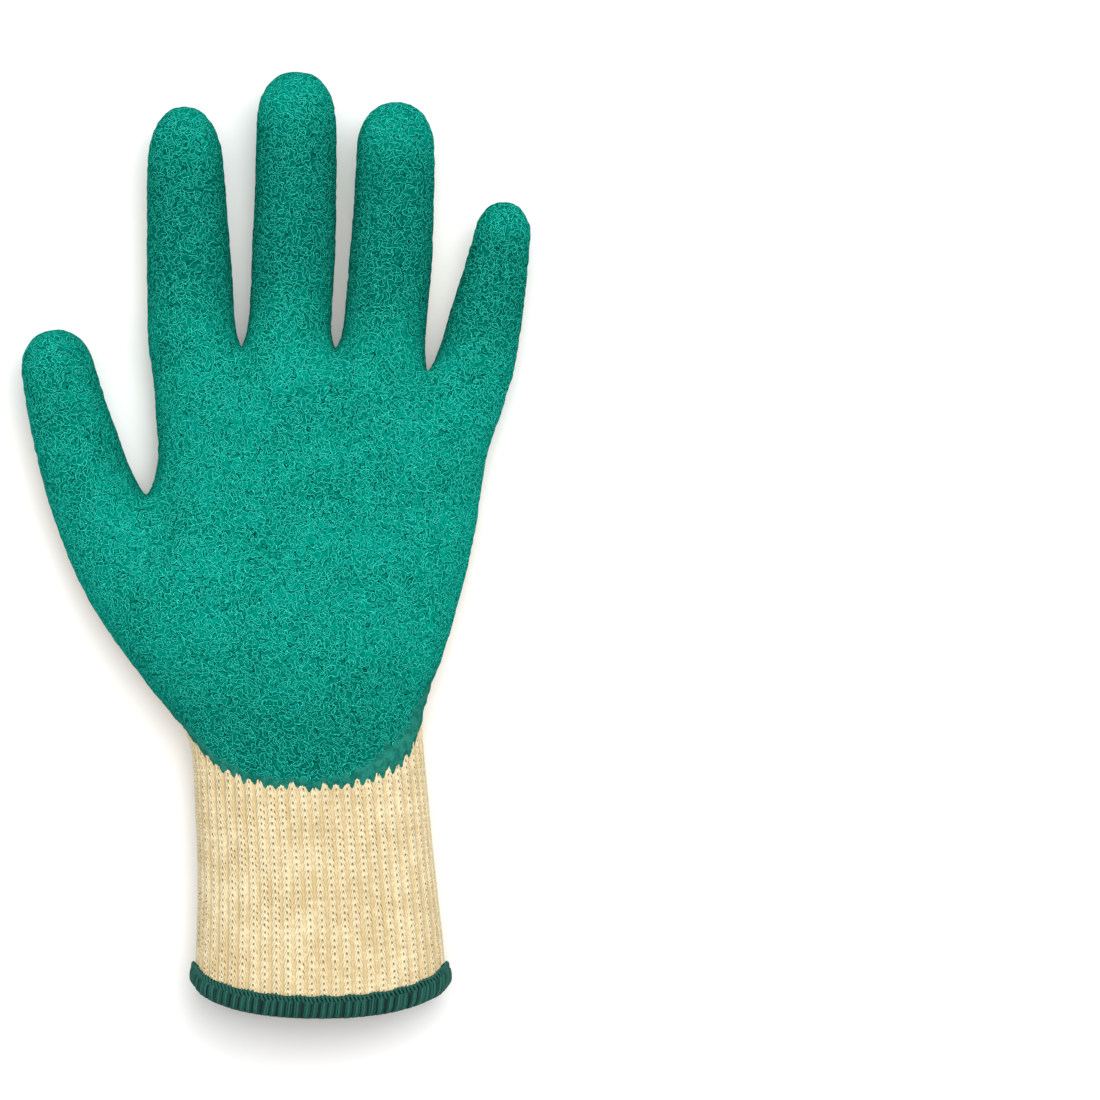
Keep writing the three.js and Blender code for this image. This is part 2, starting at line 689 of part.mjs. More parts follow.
function piece(name, geometry, material) {
  const mesh = new THREE.Mesh(geometry, material);
  geometry.computeVertexNormals();
  mesh.name = name;
  return mesh;
}

const { cage, rims } = buildCage();
const normals = cage.normals();
const glove = new THREE.Group();
glove.add(piece("knit_cuff", knitPiece(cage, normals, "cuff"), knitYarn));
glove.add(piece("knit_hand", knitPiece(cage, normals, "hand"), knitYarn.clone()));
glove.add(piece("knit_thumb", knitPiece(cage, normals, "thumb"), knitYarn.clone()));
for (const name of longFingers) {
  glove.add(piece(`knit_${name}_finger`, knitPiece(cage, normals, name), knitYarn.clone()));
}
glove.add(piece("latex_coating", latexSkin(cage, normals), greenLatex));
glove.add(piece("overlock_hem", stitchedHem(cage, normals, rims), hemThread));

// The origin is under the middle of the glove, on the surface that it lies on.
const box = new THREE.Box3().setFromObject(glove);
const middle = box.getCenter(new THREE.Vector3());
glove.position.set(-middle.x, -middle.y, -box.min.z);

export default glove;
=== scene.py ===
import math
import bpy
import numpy as np
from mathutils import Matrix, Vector


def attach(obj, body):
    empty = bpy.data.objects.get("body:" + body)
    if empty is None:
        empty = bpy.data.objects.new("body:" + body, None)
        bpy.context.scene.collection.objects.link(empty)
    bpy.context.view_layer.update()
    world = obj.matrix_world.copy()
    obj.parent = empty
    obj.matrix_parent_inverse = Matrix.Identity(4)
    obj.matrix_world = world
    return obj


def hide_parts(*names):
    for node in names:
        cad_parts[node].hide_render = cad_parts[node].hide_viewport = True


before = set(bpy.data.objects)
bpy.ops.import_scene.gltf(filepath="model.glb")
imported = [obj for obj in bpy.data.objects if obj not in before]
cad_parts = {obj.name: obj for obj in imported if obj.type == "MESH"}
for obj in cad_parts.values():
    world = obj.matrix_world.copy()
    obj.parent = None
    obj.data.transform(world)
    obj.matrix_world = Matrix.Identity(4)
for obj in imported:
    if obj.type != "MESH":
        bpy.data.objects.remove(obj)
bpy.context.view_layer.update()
mm = 0.001

# Camera and light: straight above, the glove in the left half of the picture
view = {
    "above": 2000, "aimHeight": 18, "frameWidth": 296.8, "aimX": 73.8, "aimY": -1.35,
    "paper": (0.93, 0.93, 0.925), "ambient": 0.32,
    "keyPower": 36, "keySize": 1300, "keyFrom": (300, 450, 1750),
    "fillPower": 9, "fillSize": 1500, "fillFrom": (-500, -400, 1700),
}


def addLight(name, power, size, spot):
    lamp = bpy.data.lights.new(name, "AREA")
    lamp.energy, lamp.size = power, size * mm
    holder = bpy.data.objects.new(name, lamp)
    holder.location = Vector(spot) * mm
    holder.rotation_euler = (-holder.location).to_track_quat("-Z", "Y").to_euler()
    bpy.context.scene.collection.objects.link(holder)


def setStudio(look):
    scene = bpy.context.scene
    lens = bpy.data.cameras.new("glove camera")
    lens.sensor_width = 36
    lens.lens = 36 * (look["above"] - look["aimHeight"]) / look["frameWidth"]
    lens.clip_start, lens.clip_end = 0.1, 20
    camera = bpy.data.objects.new("glove camera", lens)
    camera.location = Vector((look["aimX"], look["aimY"], look["above"])) * mm
    scene.collection.objects.link(camera)
    scene.camera = camera
    addLight("key light", look["keyPower"], look["keySize"], look["keyFrom"])
    addLight("fill light", look["fillPower"], look["fillSize"], look["fillFrom"])
    world = bpy.data.worlds.new("soft room")
    world.use_nodes = True
    world.node_tree.nodes["Background"].inputs["Color"].default_value = (1, 1, 1, 1)
    world.node_tree.nodes["Background"].inputs["Strength"].default_value = look["ambient"]
    scene.world = world
    scene.view_settings.view_transform = "Standard"
    sheet = bpy.data.meshes.new("paper floor")
    sheet.from_pydata([(-6, -6, 0), (6, -6, 0), (6, 6, 0), (-6, 6, 0)], [], [(0, 1, 2, 3)])
    floor = bpy.data.objects.new("paper floor", sheet)
    floor.location.z = -0.0001
    scene.collection.objects.link(floor)
    paper = bpy.data.materials.new("paper")
    paper.use_nodes = True
    skin = paper.node_tree.nodes["Principled BSDF"]
    skin.inputs["Base Color"].default_value = (*look["paper"], 1)
    skin.inputs["Roughness"].default_value = 0.9
    sheet.materials.append(paper)


setStudio(view)
print("studio ready")

# The glove's form: a cage of four-sided faces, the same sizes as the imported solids
glove = {
    "cuffLength": 75, "cuffWidth": 63, "cuffThickness": 33,
    "palmLength": 104.6, "palmWidth": 88, "palmThickness": 28.5,
    "hemHeight": 5, "hemStand": 1.9, "rimSag": 8.5, "knitWall": 1.5,
    "webGap": 4.4, "webRound": 2.6, "webThickness": 13, "webCover": 3,
    "fingerFlatness": 0.93, "thumbDepth": 0.9, "tipRoundness": 2.3,
    "perFinger": 4, "sideSteps": 3, "fingerRings": 5, "domes": (0.45, 0.76, 0.93), "edgeShare": 0.93,
    "fingerStart": 3.9, "tipSpread": 0.62, "palmRoundness": 2.25, "backRoundness": 2.9,
    "sagRoundness": 1.3, "curlGrowth": 1.5, "taperGrowth": 1.3,
    "bareTaper": 1.6, "bareNeck": 0.72, "tipCover": 3, "forwardDraw": 0.12,
    "easePasses": 16, "easeReturn": -1.04, "handEase": (0.5, 0.4, 0.2), "fingerEase": (0.5, 0.35, 0.1),
    "wristStart": 0.83, "wristSide": 1.05,
    "cuffWales": 54, "cuffCourse": 1.83, "handWale": 3.2, "handCourse": 1.45, "pressedHeight": 0.5,
}


def rowsOf(names, *rows):
    return [dict(zip(names.split(), row)) for row in rows]


fingers = {row["name"]: row for row in rowsOf(
    "name length lean bow curl tipWidth tipLength roll bareEnd bareBase bareMiddle",
    ("index", 65.3, -0.034, 0.7, 0.12, 0.86, 0.9, -17, 0.77, -0.66, -0.76),
    ("middle", 74.2, 0.034, 1.1, 0.11, 0.93, 0.68, 7, 0.8, -0.5, -0.72),
    ("ring", 69.4, 0.063, 0.95, 0.12, 0.9, 0.62, 18, 0.79, -0.5, -0.7),
    ("little", 46.2, 0.212, 0.3, 0.15, 0.69, 0.55, 4, 0.72, -0.7, -0.84),
    ("thumb", 47, -0.262, 0.5, 0.12, 0.8, 0.56, -48, 0.62, -0.62, -0.8))}
longFingers = ("index", "middle", "ring", "little")
cuffSections = rowsOf(
    "along left right top bottom sag",
    (1.9 / 75, -0.448, 0.622, 1.08, 0, 1), (6.9 / 75, -0.445, 0.614, 1.07, 0, 0.95),
    (0.24, -0.44, 0.6, 1.04, -0.03, 0.68), (0.43, -0.437, 0.579, 1.015, -0.03, 0.38),
    (0.62, -0.44, 0.558, 1, -0.03, 0.16), (0.81, -0.452, 0.539, 0.985, -0.03, 0.03),
    (1, -0.475, 0.519, 0.98, -0.03, 0))
sectionNames = "riseLeft riseRight left right top bottom valley"
handSections = rowsOf(
    sectionNames,
    (0.1, 0.104, -0.415, 0.378, 1.13, -0.03, 0), (0.2, 0.207, -0.505, 0.418, 1.13, -0.04, 0),
    (0.298, 0.31, -0.587, 0.453, 1.13, -0.04, 0), (0.39, 0.414, -0.653, 0.485, 1.12, -0.03, 0.04),
    (0.482, 0.516, -0.706, 0.512, 1.1, 0, 0.16), (0.572, 0.618, -0.745, 0.532, 1.08, 0.01, 0.5))
knuckleSections = rowsOf(
    sectionNames,
    (0.7, 0.7, -0.428, 0.547, 1.06, -0.03, 0), (0.78, 0.77, -0.424, 0.566, 1.04, -0.03, 0),
    (0.86, 0.835, -0.431, 0.594, 1.01, -0.02, 0.03), (0.935, 0.895, -0.438, 0.618, 0.97, 0.03, 0.14),
    (0.99, 0.93, -0.452, 0.631, 0.92, 0.1, 0.5))
thumbWeb, *fingerWebs = rowsOf("across rise", (-0.468, 0.617), (-0.181, 1), (0.102, 1), (0.387, 0.933))
palmForms = rowsOf(
    "across rise reach height",
    (-0.42, 0.33, 0.27, 0.16),  # ball of the thumb
    (0.2, 0.3, 0.25, 0.07),  # heel of the hand
    (0.02, 0.6, 0.26, -0.13),  # hollow of the palm
    (-0.3, 0.88, 0.12, 0.05),  # pad under the index finger
    (0.25, 0.86, 0.16, 0.04))  # pad under the ring finger
latexDrop = rowsOf("rise left right", (0, 0, 0), (0.35, 0.03, 0.07), (0.6, 0.08, 0.2),
                   (0.75, 0.18, 0.26), (1, 0.24, 0.3))


def mix(a, b, share):
    return a + (b - a) * share


def clamp(value):
    return min(1.0, max(0.0, value))


def settle(value):
    return clamp(value) ** 2 * (3 - 2 * clamp(value))


def superEllipse(share, exponent):
    return max(0.0, 1 - abs(share) ** exponent) ** (1 / exponent)


def lookUp(rows, key, value, column):
    return float(np.interp(value, [row[key] for row in rows], [row[column] for row in rows]))


# Each point keeps its place, its cover (how far inside the latex it lies) and how much it is eased.
class Cage:
    def __init__(self):
        self.places, self.cover, self.ease, self.faces, self.labels = [], [], [], [], []
        self.loops, self.course = [], {}

    def addPoint(self, place, cover):
        self.places.append(np.array(place, float))
        self.cover.append(cover)
        self.ease.append(0)
        return len(self.places) - 1

    def setEase(self, loop, amount):
        for corner in loop:
            self.ease[corner] = max(self.ease[corner], amount)

    def bridge(self, lower, upper, label):
        for i, corner in enumerate(lower):
            following = (i + 1) % len(lower)
            self.faces.append((corner, lower[following], upper[following], upper[i]))
            self.labels.append(label)

    def relax(self):
        near = [set() for _ in self.places]
        for corners in self.faces:
            for i, corner in enumerate(corners):
                near[corner].add(corners[(i + 1) % 4])
                near[corners[(i + 1) % 4]].add(corner)
        eased = [i for i, amount in enumerate(self.ease) if amount]
        for turn in range(glove["easePasses"]):
            share = glove["easeReturn"] if turn % 2 else 1
            moved = {}
            for i in eased:
                average = np.mean([self.places[k] for k in near[i]], 0)
                moved[i] = mix(self.places[i], average, self.ease[i] * share)
            for i, place in moved.items():
                self.places[i] = place


def latexLevel(place, middle, top):
    startY, sideY = glove["wristStart"] * glove["cuffLength"], glove["wristSide"] * glove["cuffLength"]
    if place[1] < sideY:
        return mix(middle, top, (sideY - place[1]) / (sideY - startY))
    rise = (place[1] - glove["cuffLength"]) / glove["palmLength"]
    side = settle(place[0] / glove["palmWidth"] + 0.5)
    drop = mix(lookUp(latexDrop, "rise", rise, "left"), lookUp(latexDrop, "rise", rise, "right"), side)
    return middle - drop * glove["palmThickness"]


def palmForm(place):
    height = 0
    for form in palmForms:
        across = place[0] / glove["palmWidth"] - form["across"]
        rise = (place[1] - glove["cuffLength"]) / glove["palmLength"] - form["rise"]
        rise *= glove["palmLength"] / glove["palmWidth"]
        height += form["height"] * math.exp(-(across ** 2 + rise ** 2) / form["reach"] ** 2)
    return height * glove["palmThickness"]


def addSection(cage, at, columns):
    centre, halfWidth = (at["left"] + at["right"]) / 2, (at["right"] - at["left"]) / 2
    top, bottom = at["top"], at["bottom"]
    middle = mix(max(bottom, at["floor"]), top, 0.5)

    def place(across, height, upper):
        half = top - middle if upper else middle - bottom
        away = [(across - web) * halfWidth / (glove["webThickness"] / 2) for web in at["webs"]]
        pinch = max([at["valley"] * math.exp(-gap ** 2) for gap in away], default=0)
        point = np.array([centre + across * halfWidth, mix(at["yLeft"], at["yRight"], (across + 1) / 2), 0])
        point[1] += at["sag"] * glove["rimSag"] * (1 - abs(height) ** glove["sagRoundness"])
        point[2] = middle + height * half * (1 - pinch)
        if upper:
            point[2] += palmForm(point) * height
        point[2] = max(point[2], at["floor"])
        return point

    def add(point):
        return cage.addPoint(point, point[2] - latexLevel(point, middle, top))

    def side(sign):
        high = superEllipse(glove["edgeShare"], glove["palmRoundness"])
        low = -superEllipse(glove["edgeShare"], glove["backRoundness"])
        loop = []
        for step in range(1, glove["sideSteps"]):
            height = mix(high, low, step / glove["sideSteps"])
            exponent = glove["palmRoundness"] if height > 0 else glove["backRoundness"]
            loop.append(add(place(sign * superEllipse(height, exponent), height, height > 0)))
        return loop

    steps = glove["perFinger"]
    across = [columns[0]] + [mix(columns[column - 1], columns[column], step / steps)
                             for column in range(1, len(columns)) for step in range(1, steps + 1)]
    palm = [add(place(x, superEllipse(x, glove["palmRoundness"]), True)) for x in across]
    back = [add(place(x, -superEllipse(x, glove["backRoundness"]), False)) for x in across]
    return {"palm": palm, "back": back, "right": side(1), "left": side(-1), "middle": middle}


def wholeLoop(section):
    return section["palm"] + section["right"] + section["back"][::-1] + section["left"][::-1]


# Where the middle of the back stands in a loop that is so many fingers wide.
def backMiddle(fingersWide):
    columns = fingersWide * glove["perFinger"]
    return columns + glove["sideSteps"] + columns // 2


def addWeb(cage, web, palmCorner, backCorner, middle):
    y = glove["cuffLength"] + web["rise"] * glove["palmLength"]
    for corner, sign in ((palmCorner, 0.5), (backCorner, -0.5)):
        z = middle + sign * glove["webThickness"]
        cage.places[corner] = np.array((web["across"] * glove["palmWidth"], y - glove["webRound"], z))
        cage.cover[corner] = glove["webCover"]
    loop = []
    for step in range(1, glove["sideSteps"]):
        place = mix(cage.places[palmCorner], cage.places[backCorner], step / glove["sideSteps"])
        place[1] = y
        loop.append(cage.addPoint(place, glove["webCover"]))
    return loop


def addFinger(cage, name, base, start, baseWidth, baseDepth):
    finger = fingers[name]
    length = finger["length"]
    domeLength = finger["tipLength"] * baseWidth
    tubeLength = length - domeLength
    start = np.array(start)

    def line(share):
        sideways = finger["lean"] * ((1 + finger["bow"]) * share - finger["bow"] * share ** 2)
        return start + length * np.array([sideways, share, finger["curl"] * share ** glove["curlGrowth"]])

    def guide(share):
        along = line(share + 0.01) - line(max(share - 0.01, 0))
        along /= np.linalg.norm(along)
        across = np.array([along[1], -along[0], 0])
        across /= np.linalg.norm(across)
        return across, np.cross(across, along)

    bare = math.radians(finger["roll"])

    def bareLevel(share):
        neck = finger["bareEnd"] * glove["bareNeck"]
        if share < neck:
            return mix(finger["bareBase"], finger["bareMiddle"], share / neck)
        if share < finger["bareEnd"]:
            reach = (share - neck) / (finger["bareEnd"] - neck)
            return mix(finger["bareMiddle"], -1, reach ** glove["bareTaper"])
        return -1 - glove["tipCover"] * (share - finger["bareEnd"])

    def addOn(share, depth, right, up):
        across, lift = guide(share)
        height = (up * math.cos(bare) - right * math.sin(bare)) / depth
        corner = cage.addPoint(line(share) + across * right + lift * up, (height - bareLevel(share)) * depth)
        cage.course[corner] = (start[1] - glove["cuffLength"] + length * share) / glove["handCourse"]
        return corner

    steps, sides = glove["perFinger"], glove["sideSteps"]
    turn = math.pi / (steps + sides)
    firstAngle = math.pi / 2 + turn * steps / 2

    def widthAt(share):
        taper = mix(1, finger["tipWidth"], clamp(share * length / tubeLength) ** glove["taperGrowth"])
        return taper * baseWidth / 2

    def depthAt(share):
        tipDepth = widthAt(share) * glove["fingerFlatness"]
        return mix(baseDepth / 2, tipDepth, settle(share * length / baseWidth))

    def addRing(share, scale):
        width, depth = widthAt(share) * scale, depthAt(share) * scale
        angles = [firstAngle - turn * i for i in range(len(base))]
        ring = [addOn(share, depth, width * math.cos(angle), depth * math.sin(angle)) for angle in angles]
        centre = backMiddle(1)
        cage.loops.append({"loop": ring, "centre": centre, "kind": "finger", "base": base[centre]})
        return ring

    last = base
    for i in range(glove["fingerRings"] + 1):
        ring = addRing(mix(glove["fingerStart"], tubeLength, i / glove["fingerRings"]) / length, 1)
        if i < len(glove["fingerEase"]):
            cage.setEase(ring, glove["fingerEase"][i])
        cage.bridge(last, ring, name)
        last = ring
    for dome in glove["domes"]:
        ring = addRing((tubeLength + dome * domeLength) / length, superEllipse(dome, glove["tipRoundness"]))
        cage.bridge(last, ring, name)
        last = ring
    lastScale = superEllipse(glove["domes"][-1], glove["tipRoundness"])
    rows = [last[:steps + 1]]
    for row in range(1, sides):
        up = math.cos(math.pi * row / sides) * glove["tipSpread"]
        points = [last[-row]]
        for column in range(1, steps):
            right = -math.cos(math.pi * column / steps) * glove["tipSpread"]
            out = math.hypot(up, right) * lastScale
            share = (tubeLength + superEllipse(out, glove["tipRoundness"]) * domeLength) / length
            depth = depthAt(share) * lastScale
            points.append(addOn(share, depth, right * widthAt(share) * lastScale, up * depth))
        rows.append(points + [last[steps + row]])
    rows.append(last[steps + sides:2 * steps + sides + 1][::-1])
    for upper, lower in zip(rows, rows[1:]):
        for column in range(steps):
            cage.faces.append((upper[column], upper[column + 1], lower[column + 1], lower[column]))
            cage.labels.append(name + " tip")


def buildCage():
    cage = Cage()
    long, wide, thick, wristY = (glove[k] for k in ("palmLength", "palmWidth", "palmThickness", "cuffLength"))
    even = [mix(-glove["edgeShare"], glove["edgeShare"], column / 5) for column in range(6)]

    def acrossOf(web, left, right):
        return (web * wide - (left + right) / 2) / ((right - left) / 2)

    lower, rims = None, []
    for row in cuffSections:
        y = row["along"] * wristY
        loop = wholeLoop(addSection(cage, {
            "left": row["left"] * glove["cuffWidth"], "right": row["right"] * glove["cuffWidth"],
            "top": row["top"] * glove["cuffThickness"], "bottom": row["bottom"] * glove["cuffThickness"],
            "floor": glove["hemStand"] if len(rims) < 2 else 0, "yLeft": y, "yRight": y,
            "sag": row["sag"], "valley": 0, "webs": []}, even))
        if lower:
            cage.bridge(lower, loop, "cuff")
        if len(rims) < 2:
            rims.append(loop)
        for corner in loop:
            cage.course[corner] = (y - wristY) / glove["cuffCourse"]
        cage.loops.append({"loop": loop, "centre": backMiddle(5), "kind": "cuff"})
        lower = loop

    def handSection(row, webs, columns, pinched):
        left, right = row["left"] * wide, row["right"] * wide
        section = addSection(cage, {
            "left": left, "right": right, "top": row["top"] * thick, "bottom": row["bottom"] * thick,
            "floor": 0, "yLeft": wristY + row["riseLeft"] * long, "yRight": wristY + row["riseRight"] * long,
            "sag": 0, "valley": row["valley"], "webs": pinched}, columns)
        for corner in wholeLoop(section):
            cage.course[corner] = (cage.places[corner][1] - wristY) / glove["handCourse"]
        return section

    for i, row in enumerate(handSections):
        left, right = row["left"] * wide, row["right"] * wide
        webs = [acrossOf(mix(web["across"], fingerWebs[1]["across"], glove["forwardDraw"] if order else 0),
                         left, right) for order, web in enumerate([thumbWeb] + fingerWebs)]
        share = settle((i + 1) / len(handSections))
        columns = [mix(spot, webs[column - 1], share) if 0 < column < 5 else spot
                   for column, spot in enumerate(even)]
        section = handSection(row, webs, columns, webs[:1])
        loop = wholeLoop(section)
        cage.bridge(lower, loop, "hand")
        cage.loops.append({"loop": loop, "centre": backMiddle(5), "kind": "hand"})
        below = len(handSections) - 1 - i
        if below < len(glove["handEase"]):
            near = glove["perFinger"] + 2
            thumbSide = section["palm"][:near] + section["back"][:near] + section["left"]
            cage.setEase(thumbSide, glove["handEase"][below])
        lower = loop

    split = glove["perFinger"]
    thumbLoop = addWeb(cage, thumbWeb, section["palm"][split], section["back"][split], section["middle"])
    thumbBase = (section["palm"][:split + 1] + thumbLoop + section["back"][:split + 1][::-1]
                 + section["left"][::-1])
    lastHand = handSections[-1]
    thumbLeft = lastHand["left"] * wide
    thumbWidth = thumbWeb["across"] * wide - thumbLeft - glove["webGap"] / 2
    addFinger(cage, "thumb", thumbBase,
              (thumbLeft + thumbWidth / 2, wristY + mix(lastHand["riseLeft"], thumbWeb["rise"], 0.5) * long,
               section["middle"]), thumbWidth, thick * glove["thumbDepth"])
    lower = section["palm"][split:] + section["right"] + section["back"][split:][::-1] + thumbLoop[::-1]

    for i, row in enumerate(knuckleSections):
        left, right = row["left"] * wide, row["right"] * wide
        draw = glove["forwardDraw"] * (1 - (i + 1) / len(knuckleSections))
        middleWeb = fingerWebs[1]["across"]
        webs = [acrossOf(mix(web["across"], middleWeb, draw), left, right) for web in fingerWebs]
        section = handSection(row, webs, [-glove["edgeShare"]] + webs + [glove["edgeShare"]], webs)
        loop = wholeLoop(section)
        cage.bridge(lower, loop, "hand")
        cage.loops.append({"loop": loop, "centre": backMiddle(4), "kind": "knuckle"})
        below = len(knuckleSections) - 1 - i
        if below < len(glove["handEase"]):
            cage.setEase(loop, glove["handEase"][below])
        lower = loop

    webLoops = [addWeb(cage, web, section["palm"][(i + 1) * split], section["back"][(i + 1) * split],
                       section["middle"]) for i, web in enumerate(fingerWebs)]
    lastRow = knuckleSections[-1]
    ends = ([{"across": lastRow["left"], "rise": lastRow["riseLeft"]}] + fingerWebs
            + [{"across": lastRow["right"], "rise": lastRow["riseRight"]}])
    for i, name in enumerate(longFingers):
        first, last = i * split, (i + 1) * split
        rightSide = webLoops[i] if i < 3 else section["right"]
        leftSide = webLoops[i - 1] if i > 0 else section["left"]
        base = (section["palm"][first:last + 1] + rightSide + section["back"][first:last + 1][::-1]
                + leftSide[::-1])
        leftX = ends[i]["across"] * wide + (glove["webGap"] / 2 if i > 0 else 0)
        rightX = ends[i + 1]["across"] * wide - (glove["webGap"] / 2 if i < 3 else 0)
        addFinger(cage, name, base,
                  ((leftX + rightX) / 2, wristY + mix(ends[i]["rise"], ends[i + 1]["rise"], 0.5) * long,
                   section["middle"]), rightX - leftX, (lastRow["top"] - lastRow["bottom"]) * thick)
    cage.relax()
    for place in cage.places:
        place[2] = max(place[2], 0)
    return cage, rims


# Wale numbers: on each loop, the way round it from the middle of the back, counted in stitches.
def countWales(cage, places):
    wale, rib = np.zeros(len(places)), np.zeros(len(places))
    known = np.zeros(len(places), bool)
    cuffs = sum(entry["kind"] == "cuff" for entry in cage.loops)
    middleX = places[cage.loops[cuffs + len(handSections) - 1]["loop"][backMiddle(5)], 0]
    columns = len(longFingers) * glove["perFinger"]
    backRow = np.arange(columns, -1, -1) + columns + glove["sideSteps"]
    for order, entry in enumerate(cage.loops):
        loop, centre = np.array(entry["loop"]), entry["centre"]
        turned = np.roll(loop, -centre)
        steps = np.linalg.norm(places[np.roll(turned, -1)] - places[turned], axis=1)
        way = np.concatenate([[0], np.cumsum(steps)[:-1]])
        girth = steps.sum()
        way = np.where(way > girth / 2, way - girth, way)
        pitch = girth / glove["cuffWales"] if entry["kind"] == "cuff" else glove["handWale"]
        if entry["kind"] == "hand" and order < cuffs + 2:
            pitch = mix(girth / glove["cuffWales"], pitch, (order - cuffs + 1) / 3)
        offset = wale[entry["base"]] if entry["kind"] == "finger" else 0
        if entry["kind"] == "knuckle":
            # the thumb has left this loop, so the middle of the back is found by its place across
            counted = -way[(backRow - centre) % len(loop)] / pitch
            offset = -np.interp(middleX, places[loop[backRow], 0], counted)
        fresh = ~known[turned]
        wale[turned[fresh]] = (offset - way / pitch)[fresh]
        known[turned] = True
        if entry["kind"] == "cuff":
            rib[turned] = 1
    for corner in range(len(places)):
        if not known[corner]:
            near = np.linalg.norm(places - places[corner], axis=1)
            near[~known] = 1e9
            wale[corner] = wale[near.argmin()]
    return wale, rib


# Smoothing the cage
def gather(index, values, count):
    return np.stack([np.bincount(index, values[:, k], count) for k in range(values.shape[1])], 1)


# The smaller faces that each face is split into, one after the other.
def partsOf(*fours):
    whole = np.stack([np.stack(four, 1) for four in fours], 1)
    return whole.reshape(-1, *whole.shape[2:])


# One round of smoothing: every face becomes four, and the points move towards their neighbours.
def refine(data, faces, stitch):
    count = len(data)
    following = np.roll(faces, -1, 1)
    key = np.minimum(faces, following).astype(np.int64) * count + np.maximum(faces, following)
    names, which, uses = np.unique(key.ravel(), return_inverse=True, return_counts=True)
    which = which.reshape(faces.shape)
    ends = np.stack([names // count, names % count], 1)
    middle, facePoint = data[ends].mean(1), data[faces].mean(1)
    sums = gather(which.ravel(), np.repeat(facePoint, 4, 0), len(names))
    rimEdge = uses == 1
    edgePoint = np.where(rimEdge[:, None], middle, (2 * middle + sums) / 4)
    valence = np.bincount(ends.ravel(), minlength=count)[:, None]
    around = gather(faces.ravel(), np.repeat(facePoint, 4, 0), count)
    around /= np.bincount(faces.ravel(), minlength=count)[:, None]
    outward = gather(ends.ravel(), np.repeat(middle, 2, 0), count) / valence
    moved = (around + 2 * outward + (valence - 3) * data) / valence
    rimSum = gather(ends[rimEdge].ravel(), np.repeat(middle[rimEdge], 2, 0), count)
    onRim = np.bincount(ends[rimEdge].ravel(), minlength=count) > 0
    moved[onRim] = (rimSum[onRim] + 2 * data[onRim]) / 4
    a, b, c, d = faces.T
    ab, bc, cd, da = count + which.T
    f = count + len(names) + np.arange(len(faces))
    quads = partsOf((a, ab, f, da), (ab, b, bc, f), (f, bc, c, cd), (da, f, cd, d))
    a, b, c, d = (stitch[:, k] for k in range(4))
    ab, bc, cd, da, f = (a + b) / 2, (b + c) / 2, (c + d) / 2, (d + a) / 2, (a + b + c + d) / 4
    finer = partsOf((a, ab, f, da), (ab, b, bc, f), (f, bc, c, cd), (da, f, cd, d))
    return np.concatenate([moved, edgePoint, facePoint]), quads, finer


# Splits every face in two along the glove, apart from the small grids on the fingertips.
def splitAlong(data, faces, stitch, tips):
    count = len(data)
    a, b, c, d = faces[~tips].T
    low, high = np.concatenate([b, a]), np.concatenate([c, d])
    key = np.minimum(low, high).astype(np.int64) * count + np.maximum(low, high)
    names, which = np.unique(key, return_inverse=True)
    middle = (data[names // count] + data[names % count]) / 2
    bc, da = count + which[:len(b)], count + which[len(b):]
    quads = partsOf((a, b, bc, da), (da, bc, c, d))
    a, b, c, d = (stitch[~tips][:, k] for k in range(4))
    bc, da = (b + c) / 2, (d + a) / 2
    finer = partsOf((a, b, bc, da), (da, bc, c, d))
    return (np.concatenate([data, middle]), np.concatenate([faces[tips], quads]),
            np.concatenate([stitch[tips], finer]))


def normalsOf(places, faces):
    a, b, c, d = (places[faces[:, k]] for k in range(4))
    normal = np.cross(c - a, d - b)
    sums = gather(faces.ravel(), np.repeat(normal, 4, 0), len(places))
    return sums / np.maximum(np.linalg.norm(sums, axis=1), 1e-12)[:, None]


# Moves the cage's points out, so that the smoothed surface passes through the first places.
def holdShape(places, faces, rim):
    goal, places = places, places.copy()
    valence = np.bincount(faces.ravel(), minlength=len(places))[:, None]
    for _ in range(3):
        edges, far = np.zeros_like(places), np.zeros_like(places)
        for k in range(4):
            following, across, before = (places[faces[:, (k + step) % 4]] for step in (1, 2, 3))
            edges += gather(faces[:, k], following + before, len(places))
            far += gather(faces[:, k], across, len(places))
        limit = (valence ** 2 * places + 2 * edges + far) / (valence * (valence + 5))
        limit[rim] = (places[np.roll(rim, 1)] + 4 * places[rim] + places[np.roll(rim, -1)]) / 6
        places = places + goal - limit
    return places


cage, rims = buildCage()
places, faces = np.array(cage.places), np.array(cage.faces)
shift = np.array([6.48, -127.60, 0.0])  # puts the middle of the glove's box over the origin
wale, rib = countWales(cage, places)
course = np.array([cage.course.get(i, np.nan) for i in range(len(places))])
course = np.where(np.isnan(course), (places[:, 1] - glove["cuffLength"]) / glove["handCourse"], course)
corners = np.stack([wale[faces], course[faces]], 2)
turnedOver = np.ptp(corners[..., 0], axis=1) > 20
corners[..., 0] += np.where(turnedOver[:, None] & (corners[..., 0] < 0), glove["cuffWales"], 0)
labels = np.array(cage.labels)
rimLoop = np.array(rims[0])
data = np.column_stack([holdShape(places, faces, rimLoop) + shift, cage.cover, rib])
print("cage:", len(places), "points,", len(faces), "faces")


def smoothGlove(level):
    net, quads, stitch = data, faces, corners
    marks = labels
    for _ in range(level):
        net, quads, stitch = refine(net, quads, stitch)
        marks = np.repeat(marks, 4)
    return net, quads, stitch, marks


# The glove's own weight presses it flat: nothing goes under the table, and the stitches stay in relief.
def restOnTable(places):
    soft = glove["pressedHeight"]
    low = soft * np.exp(np.minimum(places[:, 2] - soft, 0) / soft)
    return np.column_stack([places[:, :2], np.where(places[:, 2] < soft, low, places[:, 2])])


